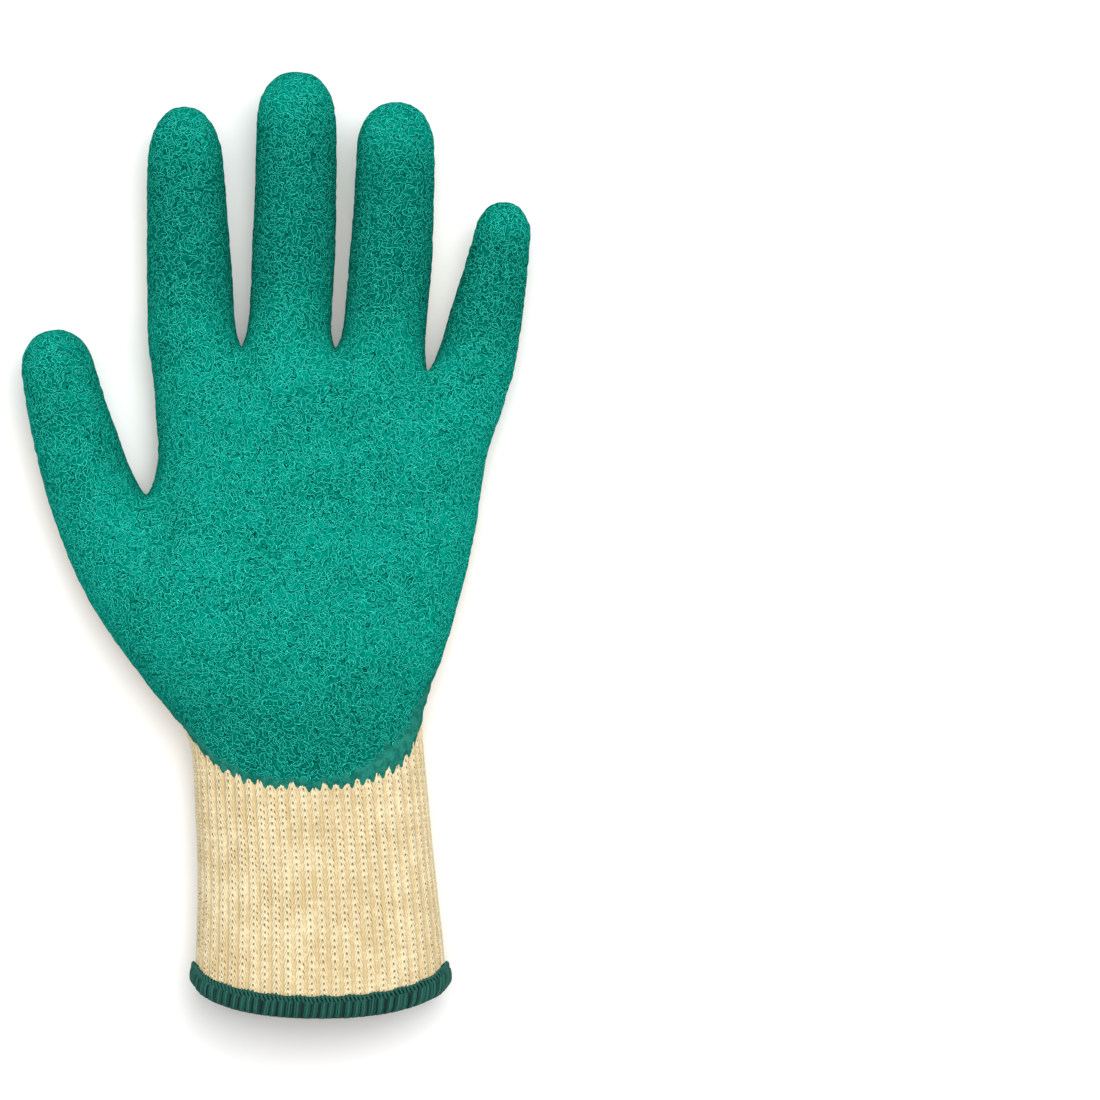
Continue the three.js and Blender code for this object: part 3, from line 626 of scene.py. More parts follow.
def makePiece(name, places, faces, material, stitch=None, marks=None):
    used, numbered = np.unique(faces, return_inverse=True)
    places = restOnTable(places)
    mesh = bpy.data.meshes.new(name)
    corners = numbered.reshape(faces.shape).astype(np.int32)
    mesh.vertices.add(len(used))
    mesh.vertices.foreach_set("co", (places[used] * mm).astype(np.float32).ravel())
    mesh.loops.add(corners.size)
    mesh.loops.foreach_set("vertex_index", corners.ravel())
    mesh.polygons.add(len(corners))
    mesh.polygons.foreach_set("loop_start", np.arange(0, corners.size, corners.shape[1], dtype=np.int32))
    mesh.update(calc_edges=True)
    mesh.polygons.foreach_set("use_smooth", np.full(len(corners), True))
    if stitch is not None:
        layer = mesh.uv_layers.new(name="stitches")
        layer.data.foreach_set("uv", stitch.astype(np.float32).ravel())
    for label, values in (marks or {}).items():
        layer = mesh.attributes.new(label, "FLOAT", "POINT")
        layer.data.foreach_set("value", values[used].astype(np.float32))
    mesh.materials.append(material)
    piece = bpy.data.objects.new(name, mesh)
    bpy.context.scene.collection.objects.link(piece)
    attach(piece, "root")
    print(name, len(corners) * (corners.shape[1] - 2), "triangles")
    return piece


# Smooth noise between about -1 and 1, with bumps about size across.
def lumps(places, size, seed):
    lattice = places / size
    cell = np.floor(lattice).astype(np.int64)
    part = lattice - cell
    fade = part ** 3 * (part * (part * 6 - 15) + 10)
    total = np.zeros(len(places))
    for corner in np.ndindex(2, 2, 2):
        at = cell + corner
        mixed = (at[:, 0] * 73856093) ^ (at[:, 1] * 19349663) ^ (at[:, 2] * 83492791) ^ (seed * 2654435761)
        pull = np.stack([((mixed >> bits) * 2654435761 % 1021) / 510 - 1 for bits in (0, 5, 11)], 1)
        weight = np.prod(np.where(corner, fade, 1 - fade), 1)
        total += weight * ((part - corner) * pull).sum(1)
    return total * 1.5


# A value between shader nodes that adds and multiplies like a number, so that one formula of the
# stitches serves both the mesh (arrays) and the finish (wires).
class Wire:
    def __init__(self, tree, socket):
        self.tree, self.socket = tree, socket

    def act(self, work, *others):
        node = self.tree.nodes.new("ShaderNodeMath")
        node.operation = work
        for place, value in enumerate((self,) + others):
            if isinstance(value, Wire):
                self.tree.links.new(value.socket, node.inputs[place])
            else:
                node.inputs[place].default_value = value
        return Wire(self.tree, node.outputs[0])

    def __add__(self, other):
        return self.act("ADD", other)

    def __sub__(self, other):
        return self.act("SUBTRACT", other)

    def __mul__(self, other):
        return self.act("MULTIPLY", other)

    def __rsub__(self, other):
        return self.act("MULTIPLY_ADD", -1.0, other)

    __radd__, __rmul__ = __add__, __mul__


def fraction(x):
    return x.act("FRACT") if isinstance(x, Wire) else x - np.floor(x)


def size(x):
    return x.act("ABSOLUTE") if isinstance(x, Wire) else np.abs(x)


def wave(x):
    turned = x * (2 * math.pi)
    return turned.act("COSINE") if isinstance(x, Wire) else np.cos(turned)


def rise(x, low, high):
    if isinstance(x, Wire):
        node = x.tree.nodes.new("ShaderNodeMapRange")
        node.interpolation_type = "SMOOTHSTEP"
        x.tree.links.new(x.socket, node.inputs["Value"])
        node.inputs["From Min"].default_value = low
        node.inputs["From Max"].default_value = high
        return Wire(x.tree, node.outputs["Result"])
    share = np.clip((x - low) / (high - low), 0, 1)
    return share * share * (3 - 2 * share)


knit = {
    "cuffMesh": (8, 5), "backMesh": (7, 4), "widestGap": 2.2,  # mesh steps a stitch, across and along
    "cuffSlant": 2.0, "ribHeight": 0.2, "legHeight": 0.24, "dotDepth": 0.2, "cuffSunk": 0.25,
    "backSlant": -1.5, "backHeight": 0.28, "backPit": 0.5,
    "driftAcross": 2.6, "driftWale": 0.16, "driftCourse": 0.3, "looseAcross": 14,
    "patchAcross": 9, "strengthAcross": 5, "mottleAcross": 1.3, "fuzzAcross": 0.45,
    "stitchBump": 0.9, "fuzzBump": 0.14,
    # the yarn colours mix random tone with painted shade and light, and the dark brown is painted shade in
    # the holes between the stitches
    "yarnLight": (0.88, 0.76, 0.49), "yarnShade": (0.62, 0.47, 0.235), "holeShade": (0.28, 0.17, 0.05),
}


# Height in millimetres over the knit's middle, how deep in a hole a point lies (painted shade in the holes),
# and the painted shade and light of the cuff: darker in the valleys between the ribs, lighter on the raised
# legs.
# loose is 1 where the stitches are pulled open and show a second row of holes.
def stitchShape(wale, course, rib, loose=0.0):
    side = fraction(wale) * 2 - 1
    away = size(side)
    phase = fraction(course + away * (rib * (knit["cuffSlant"] - knit["backSlant"]) + knit["backSlant"]))
    gap = wave(phase) * 0.5 + 0.5
    ribTop = 1 - rise(away, 0.2, 1.0)
    beat = wave(course + away * 0.6) * 0.5 + 0.5
    dot = rise(beat, 0.5, 1.0) * (1 - rise(away, 0.04, 0.27))
    sideDot = rise(beat, 0.5, 1.0) * (1 - rise(size(side + 0.58), 0.04, 0.22)) * loose
    legs = 1 - rise(away, 0.6, 1.0)
    leg = (1 - gap) * (1 - rise(away, 0.4, 0.85))
    cuffHeight = ribTop * knit["ribHeight"] + (1 - gap) * legs * knit["legHeight"]
    cuffHeight = cuffHeight - dot * knit["dotDepth"] - knit["cuffSunk"]
    # painted shade: the holes between the loops are darkened
    cuffHole = dot * 0.9 + sideDot * 0.9 + rise(gap, 0.5, 1.0) * rise(away, 0.2, 0.6) * 0.42
    # painted shade and light: valleys between the ribs darker, raised legs lighter
    cuffPaintedShade = rise(away, 0.5, 1.0) * 0.2 - leg * 0.7 + 0.4
    wide = rise(gap, 0.5, 0.93) * (1 - rise(away, 0.22, 0.5))
    narrow = rise(gap, 0.55, 0.95) * rise(away, 0.74, 0.96)
    halfway = size(away * 2 - 1)
    backHeight = (1 - halfway * halfway) * knit["backHeight"] - (wide + narrow) * knit["backPit"]
    # painted shade: the holes of the back's knit are darkened
    backHole = wide + narrow * 0.8
    height = backHeight + (cuffHeight - backHeight) * rib
    holeShade = backHole + (cuffHole - backHole) * rib
    return height, holeShade, cuffPaintedShade * rib


# Finishes
def newFinish(name, roughness):
    finish = bpy.data.materials.new(name)
    finish.use_nodes = True
    tree = finish.node_tree
    skin = tree.nodes["Principled BSDF"]
    skin.inputs["Roughness"].default_value = roughness
    return finish, tree, skin


def readValue(tree, label):
    node = tree.nodes.new("ShaderNodeAttribute")
    node.attribute_name = label
    return Wire(tree, node.outputs["Fac"])


def objectPlace(tree):
    return tree.nodes.new("ShaderNodeTexCoord").outputs["Object"]


# Soft noise of the shader, with patches about across millimetres wide.
def cloud(tree, place, across, detail=2.0, distortion=0.0):
    node = tree.nodes.new("ShaderNodeTexNoise")
    node.inputs["Scale"].default_value = 1 / (across * mm)
    node.inputs["Detail"].default_value = detail
    node.inputs["Distortion"].default_value = distortion
    tree.links.new(place, node.inputs["Vector"])
    return Wire(tree, node.outputs["Fac"])


def shifted(tree, place, move):
    node = tree.nodes.new("ShaderNodeVectorMath")
    node.operation = "ADD"
    tree.links.new(place, node.inputs[0])
    node.inputs[1].default_value = [value * mm for value in move]
    return node.outputs["Vector"]


# Millimetres along the surface to the nearest fold, a line where smooth noise passes its middle,
# and how steep the noise is there.
def foldLine(tree, place, across, curl):
    facing = tree.nodes.new("ShaderNodeSeparateXYZ")
    tree.links.new(tree.nodes.new("ShaderNodeTexCoord").outputs["Normal"], facing.inputs["Vector"])
    step = latex["slopeStep"]
    here = cloud(tree, place, across, 0.0, curl)
    squares, outward = 0.0, 0.0
    for move, axis in (((step, 0, 0), "X"), ((0, step, 0), "Y"), ((0, 0, step), "Z")):
        there = cloud(tree, shifted(tree, place, move), across, 0.0, curl)
        change = (there - here) * (1 / step)
        squares = change * change + squares
        outward = change * Wire(tree, facing.outputs[axis]) + outward
    slope = (squares - outward * outward).act("MAXIMUM", 0.0).act("SQRT")
    return (here - 0.5).act("DIVIDE", slope + 0.02), slope


def tint(tree, share, first, second):
    node = tree.nodes.new("ShaderNodeMix")
    node.data_type = "RGBA"
    for wanted, socket in ((share, node.inputs[0]), (first, node.inputs[6]), (second, node.inputs[7])):
        if isinstance(wanted, Wire):
            tree.links.new(wanted.socket, socket)
        elif isinstance(wanted, tuple):
            socket.default_value = (*wanted, 1)
        elif isinstance(wanted, float):
            socket.default_value = wanted
        else:
            tree.links.new(wanted, socket)
    return node.outputs[2]


def addBump(tree, skin, height, depth, before=None):
    node = tree.nodes.new("ShaderNodeBump")
    node.inputs["Distance"].default_value = depth * mm
    tree.links.new(height.socket, node.inputs["Height"])
    if before:
        tree.links.new(before.outputs["Normal"], node.inputs["Normal"])
    tree.links.new(node.outputs["Normal"], skin.inputs["Normal"])
    return node


def knitFinish():
    finish, tree, skin = newFinish("pale yarn knit", 0.95)
    skin.inputs["Sheen Weight"].default_value = 0.25
    skin.inputs["Sheen Roughness"].default_value = 0.6
    skin.inputs["Specular IOR Level"].default_value = 0.15
    uv = tree.nodes.new("ShaderNodeUVMap")
    uv.uv_map = "stitches"
    apart = tree.nodes.new("ShaderNodeSeparateXYZ")
    tree.links.new(uv.outputs["UV"], apart.inputs["Vector"])
    wale, course = Wire(tree, apart.outputs["X"]), Wire(tree, apart.outputs["Y"])
    place = objectPlace(tree)
    drift = cloud(tree, place, knit["driftAcross"]) - 0.5
    loose = rise(cloud(tree, shifted(tree, place, (11, 5, 9)), knit["looseAcross"], 1.0), 0.5, 0.6)
    height, holeShade, knitPaintedShade = stitchShape(wale + drift * knit["driftWale"], course + drift * knit["driftCourse"],
                                       readValue(tree, "rib"), loose)
    fuzz = cloud(tree, place, knit["fuzzAcross"], 3.0)
    patch = cloud(tree, place, knit["patchAcross"])
    strength = cloud(tree, shifted(tree, place, (7, 3, 2)), knit["strengthAcross"])
    mottle = cloud(tree, shifted(tree, place, (2, 8, 4)), knit["mottleAcross"])
    # random tone of the yarn, with painted shade and light from the stitches
    bright = patch * 0.35 + fuzz * 0.3 + mottle * 0.35 - knitPaintedShade * 0.24 + 0.05
    yarn = tint(tree, rise(bright, 0.36, 0.64), knit["yarnShade"], knit["yarnLight"])
    # painted shade: the holes between the stitches are painted dark brown
    deep = rise(holeShade * (strength + 0.5) + (fuzz - 0.5) * 0.4, 0.2, 0.95)
    tree.links.new(tint(tree, deep, yarn, knit["holeShade"]), skin.inputs["Base Color"])
    stitches = addBump(tree, skin, height, knit["stitchBump"])
    addBump(tree, skin, fuzz, knit["fuzzBump"], stitches)
    return finish


latex = {
    "height": 1.15, "buried": -0.75, "edgeWidth": 4.2, "edgeReach": 0.7, "knitUnder": 2.6,
    "edgeWander": 0.8, "wanderAcross": 2.6, "fineWanderAcross": 1.2,
    "toothDepth": 1.4, "toothHalf": 0.42, "toothCourses": (10, 20),  # teeth fade out over these courses
    "bandMiddle": 5, "bandRight": 4.2, "bandLeft": 2.0, "bandNarrow": 1.0, "wristEnd": (-45, -25),
    "lump": 0.16, "lumpAcross": 2.2, "worm": 0.1, "wormAcross": 2.4,
    "crinkleFrom": (1.6, 3.4), "partAcross": 1.9, "fineAcross": 0.6, "brokenAcross": 0.9, "patchAcross": 11,
    "foldWide": 1.45, "foldFine": 1.3, "foldHalf": 0.155, "pitNear": 0.07, "pitMiddle": 0.2, "pitFar": 0.39,
    "slopeStep": 0.08, "bumpDepth": 0.3,
    # the first colour below is the crease colour, painted shadow beside the folds, and the ridge colour is a
    # painted highlight on the fold tops
    "creaseShadow": (0.0, 0.02, 0.014), "greenDeep": (0.0, 0.145, 0.103), "green": (0.0, 0.265, 0.193),
    # painted shade: the field and ridge colours used where the latex is darkened as if shaded
    "ridge": (0.035, 0.78, 0.61), "paintedShade": (0.0, 0.105, 0.075), "ridgePaintedShade": (0.03, 0.6, 0.46),
    "edge": (0.02, 0.2, 0.15), "edgeDeep": (0.008, 0.13, 0.1),
    # how strongly the palm near the wrist, the long fingers and the thumb are painted with shade
    "palmPaintedShade": 0.75, "fingerPaintedShade": 0.8, "thumbPaintedShade": 0.2, "palmPaintedShadeEnd": (-58, -18),
}


def latexFinish():
    finish, tree, skin = newFinish("green crinkled latex", 0.5)
    skin.inputs["Specular IOR Level"].default_value = 0.0
    place = objectPlace(tree)
    part = cloud(tree, place, latex["partAcross"], 1.0)
    fine = cloud(tree, place, latex["fineAcross"], 1.0)
    broken = cloud(tree, place, latex["brokenAcross"], 1.0)
    patch = cloud(tree, place, latex["patchAcross"])
    # fold ridges are raised in the bump and painted bright, a painted highlight; the pits beside them are
    # sunk and painted dark, painted shadow in the creases
    ridge, pits = 0.0, 0.0
    for across, curl, away, show in ((latex["foldWide"], 0.4, (0, 0, 0), rise(1 - part, 0.3, 0.4)),
                                     (latex["foldFine"], 0.5, (31, 17, 5), rise(part, 0.34, 0.44))):
        off, slope = foldLine(tree, shifted(tree, place, away), across, curl)
        show = show * rise(slope, 0.08, 0.22)
        ridge = (1 - rise(size(off), 0.0, latex["foldHalf"])) * show + ridge
        beside = rise(off, latex["pitNear"], latex["pitMiddle"])
        pits = beside * (1 - rise(off, latex["pitMiddle"], latex["pitFar"])) * show + pits
    pits = pits * (1 - rise(ridge, 0.1, 0.6)) * (rise(broken, 0.4, 0.54) * 0.85 + 0.15)
    inside = rise(readValue(tree, "cover"), *latex["crinkleFrom"])
    crinkle = (ridge * 0.7 - pits * 0.5 + fine * 0.3) * inside
    field = tint(tree, rise(patch * 0.4 + fine * 0.6, 0.36, 0.64), latex["greenDeep"], latex["green"])
    # painted shade: the field and the ridges are darkened on the middle of the fingers and near the wrist
    field = tint(tree, readValue(tree, "paintedShade"), field, latex["paintedShade"])
    # painted shadow: the creases beside the folds are darkened
    low = tint(tree, pits, field, latex["creaseShadow"])
    top = tint(tree, readValue(tree, "paintedShade"), latex["ridge"], latex["ridgePaintedShade"])
    # painted highlight: the fold tops are lightened
    full = tint(tree, rise(ridge, 0.1, 1.0), low, top)
    band = tint(tree, rise(part * 0.6 + fine * 0.4, 0.38, 0.6), latex["edgeDeep"], latex["edge"])
    tree.links.new(tint(tree, inside, band, full), skin.inputs["Base Color"])
    addBump(tree, skin, crinkle, latex["bumpDepth"])
    return finish


hem = {
    "stitches": 80, "threadAcross": 0.68, "strandApart": 0.31, "slant": 1.3, "threadsBelowTop": 1.75,
    "chainAcross": 0.66, "chainRise": 1.8, "chainBelowTop": 1.0, "chainOut": 0.7, "chainSwing": 0.35,
    "tubeSides": 6, "sectionSteps": 22, "chainSteps": 10, "fuzzAcross": 0.35, "fuzzBump": 0.2,
    # the first colour is near black: painted shade in the gaps between the threads
    "band": (0.002, 0.018, 0.014), "thread": (0.003, 0.026, 0.02), "threadLight": (0.018, 0.125, 0.097),
}


def threadFinish():
    finish, tree, skin = newFinish("dark green thread", 0.75)
    skin.inputs["Specular IOR Level"].default_value = 0.2
    place = objectPlace(tree)
    fuzz = cloud(tree, place, hem["fuzzAcross"], 3.0)
    thread = readValue(tree, "thread")
    bright = rise(fuzz * 0.35 + thread * 0.65, 0.35, 0.85)
    lit = tint(tree, bright, hem["thread"], hem["threadLight"])
    # painted shade: the band under the threads, tone 0, is painted near black as the shade between them
    tree.links.new(tint(tree, rise(thread, 0.0, 0.3), hem["band"], lit), skin.inputs["Base Color"])
    addBump(tree, skin, fuzz, hem["fuzzBump"])
    return finish


lining = {
    "fuzzAcross": 1.3, "fuzzBump": 0.6, "yarnShade": (0.45, 0.30, 0.13), "yarnLight": (0.82, 0.68, 0.42),
}


def liningFinish():
    finish, tree, skin = newFinish("inside of the knit", 0.95)
    fuzz = cloud(tree, objectPlace(tree), lining["fuzzAcross"], 3.0)
    yarn = tint(tree, rise(fuzz, 0.35, 0.7), lining["yarnShade"], lining["yarnLight"])
    tree.links.new(yarn, skin.inputs["Base Color"])
    addBump(tree, skin, fuzz, lining["fuzzBump"])
    return finish


yarnKnit, greenLatex, hemThread, insideKnit = knitFinish(), latexFinish(), threadFinish(), liningFinish()
print("finishes ready")

# Knit: a mesh whose rows follow the stitches, read off the smooth glove
net, quads, stitch, marks = smoothGlove(3)
tips = np.char.endswith(marks.astype(str), "tip")
fineNet, fineQuads, fineStitch = splitAlong(net, quads, stitch, tips)
fineParts = np.char.partition(np.concatenate([marks[tips], np.repeat(marks[~tips], 2)]), " ")[:, 0]
out = normalsOf(fineNet[:, :3], fineQuads)
print("smooth glove:", len(fineQuads), "faces")


# Neighbouring fingers share stitch numbers at their sides, so they are laid on different sheets.
sheets = (("index", "ring"), ("middle", "little"), ("thumb",))


# Reads the smooth glove at even steps of its stitch numbers.
def readGlove(chosen, waleSteps, courseSteps, firstCourse, rows):
    values = np.concatenate([fineNet, out], 1)[fineQuads[chosen]]
    spots = fineStitch[chosen] * (waleSteps, courseSteps)
    ofHand = np.isin(fineParts[chosen], ("cuff", "hand"))
    around = glove["cuffWales"] * waleSteps
    grid = np.zeros((around, rows, values.shape[2]))
    found, byHand = np.zeros((around, rows), bool), np.zeros((around, rows), bool)
    first = np.ceil(spots.min(1) - 1e-4).astype(int)
    reach = (np.floor(spots.max(1) + 1e-4).astype(int) - first).max(0)
    for three in ((0, 1, 2), (0, 2, 3)):
        a, b, c = (spots[:, k] for k in three)
        ab, ac = b - a, c - a
        area = ab[:, 0] * ac[:, 1] - ab[:, 1] * ac[:, 0]
        area = np.where(np.abs(area) < 1e-9, 1e-9, area)
        for i, j in np.ndindex(reach[0] + 1, reach[1] + 1):
            spot = first + (i, j)
            ap = spot - a
            toB = (ap[:, 0] * ac[:, 1] - ap[:, 1] * ac[:, 0]) / area
            toC = (ab[:, 0] * ap[:, 1] - ab[:, 1] * ap[:, 0]) / area
            row = spot[:, 1] - round(firstCourse * courseSteps)
            hit = (toB > -1e-3) & (toC > -1e-3) & (toB + toC < 1.001) & (row >= 0) & (row < rows)
            share = np.stack([1 - toB - toC, toB, toC], 1)[hit]
            at = spot[hit, 0] % around, row[hit]
            grid[at] = (values[hit][:, three, :] * share[..., None]).sum(1)
            found[at] = True
            byHand[at] |= ofHand[hit]
    return grid.reshape(-1, values.shape[2]), found.ravel(), byHand.ravel()


# A knit mesh with a corner at every even step of the stitch numbers. The first sheet holds the cuff
# and the hand, and the others are joined to it where their corners meet its own.
def layStitches(waleSteps, courseSteps, firstCourse, lastCourse):
    middleCourse = fineStitch[..., 1].mean(1)
    chosen = fineNet[fineQuads, 3].min(1) < latex["knitUnder"]
    chosen &= (middleCourse > firstCourse - 2) & (middleCourse < lastCourse + 2)
    around, rows = glove["cuffWales"] * waleSteps, round((lastCourse - firstCourse) * courseSteps) + 1
    index = np.arange(around * rows).reshape(around, rows)
    right = np.roll(index, -1, 0)
    every = np.stack([index[:, :-1], right[:, :-1], right[:, 1:], index[:, 1:]], 2).reshape(-1, 4)
    grids, squares = [], []
    for sheet in sheets:
        here = chosen & np.isin(fineParts, ("cuff", "hand") + sheet)
        grid, found, byHand = readGlove(here, waleSteps, courseSteps, firstCourse, rows)
        spread = np.ptp(grid[every][..., :3], axis=1).max(1)
        whole = found[every].all(1) & (spread < knit["widestGap"])
        number = index.ravel() + len(grids) * index.size
        if grids:
            whole &= ~byHand[every].all(1)
            same = foundFirst & found & (np.abs(grids[0][:, :3] - grid[:, :3]).max(1) < 0.01)
            number = np.where(same, index.ravel(), number)
        else:
            foundFirst = found
        grids.append(grid)
        squares.append(number[every[whole]])
    flat, squares = np.concatenate(grids), np.concatenate(squares)
    i, j = np.divmod(squares[:, 0] % index.size, rows)
    uv = np.stack([np.stack([i + di, j + dj], 1) for di, dj in ((0, 0), (1, 0), (1, 1), (0, 1))], 1)
    uv = uv / (waleSteps, courseSteps) + (0, firstCourse)
    number = np.stack(np.divmod(index.ravel(), rows), 1) / (waleSteps, courseSteps) + (0, firstCourse)
    number = np.tile(number, (len(sheets), 1))
    height, _, _ = stitchShape(number[:, 0], number[:, 1], flat[:, 4])
    normal = flat[:, 5:8] / np.maximum(np.linalg.norm(flat[:, 5:8], axis=1), 1e-9)[:, None]
    a, b, c, d = (flat[squares[:, k], :3] for k in range(4))
    facing = (np.cross(c - a, d - b) * normal[squares[:, 0]]).sum(1).mean()
    if facing < 0:
        squares, uv = squares[:, ::-1], uv[:, ::-1]
    return flat[:, :3] + normal * height[:, None], squares, uv, {"rib": flat[:, 4]}


lowest = math.floor(corners[..., 1].min())
spots, squares, uv, extra = layStitches(*knit["cuffMesh"], lowest, 0)
cuffKnit = makePiece("knitted_cuff", spots, squares, yarnKnit, stitch=uv, marks=extra)
spots, squares, uv, extra = layStitches(*knit["backMesh"], 0, math.ceil(corners[..., 1].max()))
backKnit = makePiece("knitted_back", spots, squares, yarnKnit, stitch=uv, marks=extra)
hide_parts("knit_cuff")
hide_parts("knit_hand", "knit_thumb", *["knit_%s_finger" % name for name in longFingers])

# Latex: a skin over the smooth glove that sinks into the knit at its edge
wander = lumps(fineNet[:, :3], latex["wanderAcross"], 1)
wander += 0.6 * lumps(fineNet[:, :3], latex["fineWanderAcross"], 2)
stitchWale, stitchCourse = np.zeros(len(fineNet)), np.zeros(len(fineNet))
stitchWale[fineQuads.ravel()] = fineStitch[..., 0].ravel()
stitchCourse[fineQuads.ravel()] = fineStitch[..., 1].ravel()
# at the wrist the ribs of the cuff stand up into the latex as teeth, each a little different
ribNumber = np.floor(stitchWale)
toothSize = fraction(np.sin(ribNumber * 12.9898) * 43.7585) * 0.75 + 0.35
fromRib = np.abs(stitchWale - ribNumber - 0.5)
tooth = (1 - rise(fromRib, latex["toothHalf"] * 0.3, latex["toothHalf"])) * toothSize
tooth *= 1 - rise(stitchCourse, *latex["toothCourses"])
cover = fineNet[:, 3] + latex["edgeReach"] + latex["edgeWander"] * wander - latex["toothDepth"] * tooth
# the smooth band along the wrist is wider at its two ends
fromMiddle = fineNet[:, 0] - latex["bandMiddle"]
band = latex["bandRight"] * rise(fromMiddle, 10, 28) + latex["bandLeft"] * rise(-fromMiddle, 10, 26)
atWrist = 1 - rise(fineNet[:, 1], *latex["wristEnd"])
crinkled = cover - band * atWrist + latex["bandNarrow"] * (1 - atWrist)
swell = rise(cover, -latex["edgeWidth"] / 3, latex["edgeWidth"] * 0.7)
worms = 1 - 3 * np.abs(lumps(fineNet[:, :3], latex["wormAcross"], 4))
relief = latex["lump"] * lumps(fineNet[:, :3], latex["lumpAcross"], 3) + latex["worm"] * worms
heightOut = mix(latex["buried"], latex["height"], swell) + relief * rise(cover, 1, 4)
skinPlaces = fineNet[:, :3] + out * heightOut[:, None]
kept = cover[fineQuads].max(1) > -latex["edgeWidth"] / 3
alongY = skinPlaces[:, 1]
for part in ("hand",) + tuple(fingers):
    inPart = fineParts == part
    if part == "hand":
        inPart |= fineParts == "cuff"
        # painted shade: the palm is painted darker towards the wrist
        paintedShade = latex["palmPaintedShade"] * (1 - rise(alongY, *latex["palmPaintedShadeEnd"]))
    else:
        # painted shade: a finger is painted a little darker between its root and its tip
        ends = alongY[fineQuads[inPart]]
        share = (alongY - ends.min()) / np.ptp(ends)
        paintedShade = rise(share, 0.05, 0.35) * (1 - rise(share, 0.7, 0.95))
        paintedShade *= latex["thumbPaintedShade"] if part == "thumb" else latex["fingerPaintedShade"]
    skin = makePiece("latex_" + part, skinPlaces, fineQuads[kept & inPart], greenLatex,
                     marks={"cover": crinkled, "paintedShade": paintedShade})
    if part == "hand":
        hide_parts("latex_coating")

# Lining: the inside of the knit, seen through the open cuff
innerNet, innerQuads, _, _ = smoothGlove(2)
inner = innerNet[:, :3] - normalsOf(innerNet[:, :3], innerQuads) * glove["knitWall"]
makePiece("lining", inner, innerQuads[:, ::-1], insideKnit)


# Hem: thread wrapped over the rim, and a chain of loops along its upper edge
def aroundLoop(points, shares):
    count = len(points)
    spot = np.asarray(shares) * count
    low = np.floor(spot).astype(int)
    t = (spot - low)[:, None]
    p = [points[(low + k) % count] for k in (-1, 0, 1, 2)]
    return 0.5 * (2 * p[1] + (p[2] - p[0]) * t + (2 * p[0] - 5 * p[1] + 4 * p[2] - p[3]) * t ** 2
                  + (3 * p[1] - p[0] - 3 * p[2] + p[3]) * t ** 3)


def evenShares(points, amount):
    fine = np.linspace(0, 1, 2001)
    spots = aroundLoop(points, fine)
    way = np.concatenate([[0], np.cumsum(np.linalg.norm(np.diff(spots, axis=0), axis=1))])
    return np.interp(np.arange(amount) / amount * way[-1], way, fine)


def tube(path, radius, closed=False):
    sides = hem["tubeSides"]
    ahead = np.gradient(path, axis=0) if not closed else np.roll(path, -1, 0) - np.roll(path, 1, 0)
    ahead /= np.linalg.norm(ahead, axis=1)[:, None]
    lift = np.cross(ahead[0], (0.31, 0.83, 0.46))
    rings = []
    for point, along in zip(path, ahead):
        lift = lift - along * lift.dot(along)
        lift /= np.linalg.norm(lift)
        across = np.cross(along, lift)
        turn = np.arange(sides) * 2 * math.pi / sides
        rings.append(point + radius * (np.cos(turn)[:, None] * lift + np.sin(turn)[:, None] * across))
    spots = np.concatenate(rings)
    base = np.arange(len(path))[:, None] * sides
    step = np.arange(sides)
    low = base + step
    turnOn = base + (step + 1) % sides
    if closed:
        high, highOn = np.roll(low, -1, 0), np.roll(turnOn, -1, 0)
    else:
        low, turnOn, high, highOn = low[:-1], turnOn[:-1], low[1:], turnOn[1:]
    return spots, np.stack([low, turnOn, highOn, high], 2).reshape(-1, 4)


def joinParts(parts):
    spots, faces, tones, count = [], [], [], 0
    for places, corners, tone in parts:
        spots.append(places)
        faces.append(corners + count)
        tones.append(np.full(len(places), tone))
        count += len(places)
    return np.concatenate(spots), np.concatenate(faces), np.concatenate(tones)


rimPlaces, topPlaces = places[rims[0]] + shift, places[rims[1]] + shift
cageNormals = normalsOf(places, faces)
rimOut = cageNormals[rims[0]] + cageNormals[rims[1]]


# A spot on the hem: share round the rim, way up from the rim's edge, and distance out of the knit.
def hemSpot(shares, up, outward):
    low, high = aroundLoop(rimPlaces, shares), aroundLoop(topPlaces, shares)
    edge = low - high
    tall = np.linalg.norm(edge, axis=1)[:, None]
    edge /= tall
    normal = aroundLoop(rimOut, shares)
    normal -= edge * (normal * edge).sum(1)[:, None]
    normal /= np.linalg.norm(normal, axis=1)[:, None]
    return low - edge * np.asarray(up)[:, None] + normal * np.asarray(outward)[:, None]


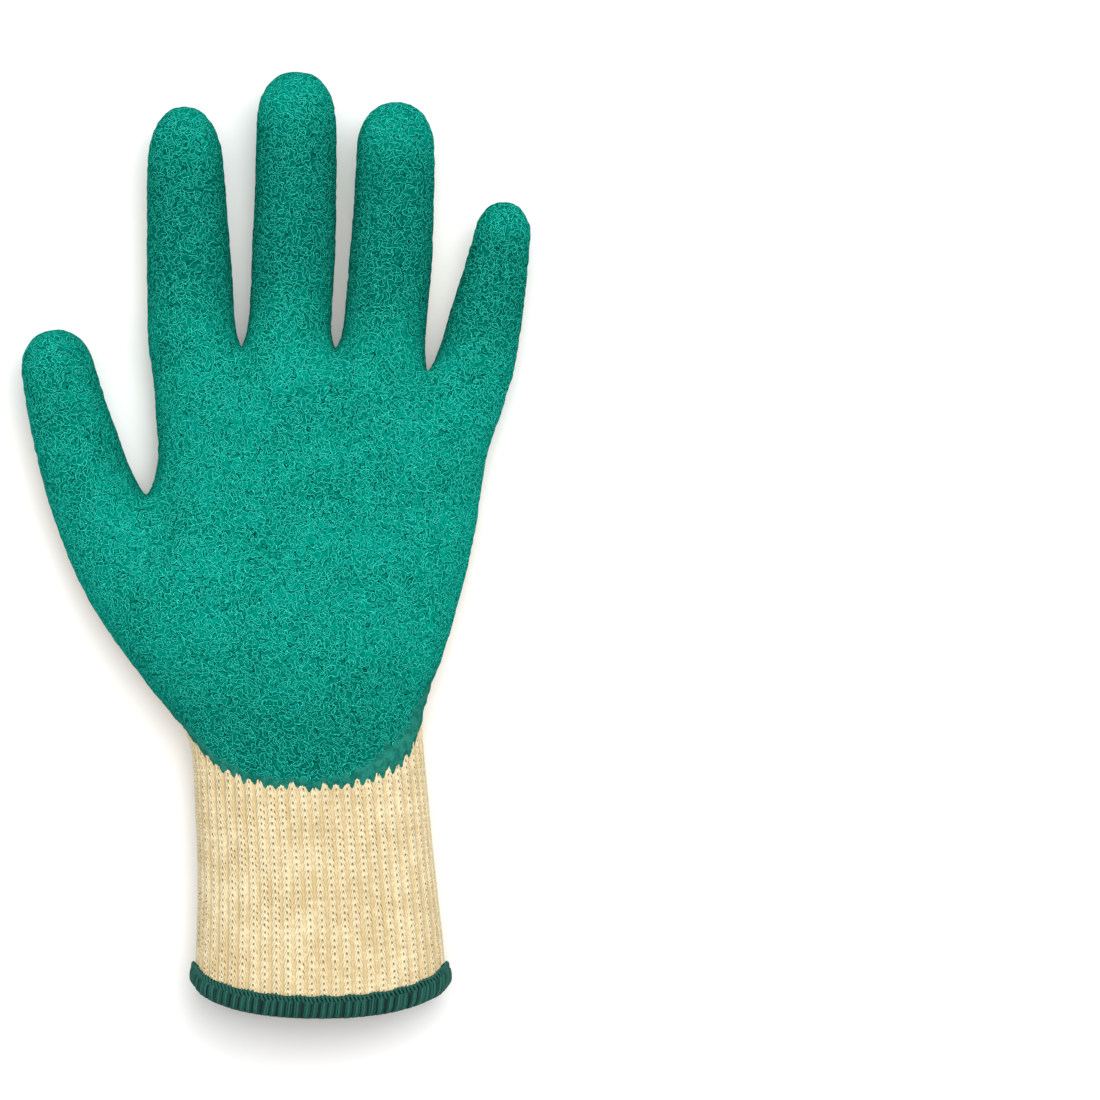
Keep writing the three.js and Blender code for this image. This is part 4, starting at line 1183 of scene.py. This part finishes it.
def hemParts():
    tall = glove["hemHeight"]
    wall = glove["knitWall"]
    # the section, from inside up round the rim to the outside: up, outward
    section = np.array([(tall - 0.3, -wall - 0.3), (tall * 0.5, -wall - 0.7), (0.3, -wall - 0.6),
                        (-0.75, -wall * 0.6), (-1.0, -wall * 0.1), (-0.7, 0.45), (0.1, 0.95),
                        (tall * 0.35, 1.15), (tall * 0.65, 1.05), (tall * 0.88, 0.6), (tall - 0.1, 0.1)])
    fine = np.linspace(0, len(section) - 1, hem["sectionSteps"])
    section = np.stack([np.interp(fine, np.arange(len(section)), section[:, k]) for k in (0, 1)], 1)
    shares = evenShares(rimPlaces, hem["stitches"] * 3)
    count = len(shares)
    spots = np.concatenate([hemSpot(shares, np.full(count, up), np.full(count, outward))
                            for up, outward in section])
    faces = []
    for row in range(len(section)):
        low = row * count + np.arange(count)
        high = (row + 1) % len(section) * count + np.arange(count)
        faces.append(np.stack([low, high, np.roll(high, -1), np.roll(low, -1)], 1))
    # the band under the threads has tone 0, painted near black as shade between the threads
    parts = [(spots, np.concatenate(faces), 0.0)]
    step = 1 / hem["stitches"]
    starts = evenShares(rimPlaces, hem["stitches"])
    radius = hem["threadAcross"] / 2
    shake = np.random.default_rng(7).uniform(-1, 1, (hem["stitches"], 3))
    for start, (sway, thick, lift) in zip(starts, shake):
        for strand in (-1, 0, 1):
            lean = np.linspace(-0.5, 0.5, len(section)) * hem["slant"] * step * (1 + 0.4 * sway)
            swing = step * (0.1 * thick + hem["strandApart"] * strand * (1 + 0.2 * lift))
            outward = section[:, 1] + np.sign(section[:, 1]) * (0.22 - 0.14 * abs(strand) + 0.05 * lift)
            up = np.minimum(section[:, 0], tall - hem["threadsBelowTop"] - 0.2 * sway)
            up += np.where(section[:, 0] < 0, 0.2, 0)
            path = hemSpot((start + swing + lean) % 1, up, outward)
            tone = 0.85 - 0.25 * abs(strand) + 0.15 * sway * strand
            parts.append((*tube(path, radius * (1 + 0.1 * thick)), tone))
    # the chain: two threads that swing up and down past each other along the upper edge
    steps = hem["stitches"] * hem["chainSteps"]
    along = np.arange(steps) / steps
    shares = np.interp(along, np.arange(len(starts) + 1) / len(starts), np.append(starts, starts[0] + 1)) % 1
    for phase in (0, math.pi):
        turn = along * 2 * math.pi * hem["stitches"] + phase
        up = tall - hem["chainBelowTop"] + 0.5 * hem["chainRise"] * np.cos(turn) + 0.22 * np.sin(along * 161)
        path = hemSpot(shares, up, hem["chainOut"] + hem["chainSwing"] * np.sin(turn))
        parts.append((*tube(path, hem["chainAcross"] / 2, True), 0.8))
    return joinParts(parts)


spots, squares, tones = hemParts()
hemPiece = makePiece("stitched_hem", spots, squares, hemThread, marks={"thread": tones})
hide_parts("overlock_hem")

for name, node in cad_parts.items():
    node.data.materials.clear()
    node.data.materials.append({"latex_coating": greenLatex, "overlock_hem": hemThread}.get(name, insideKnit))
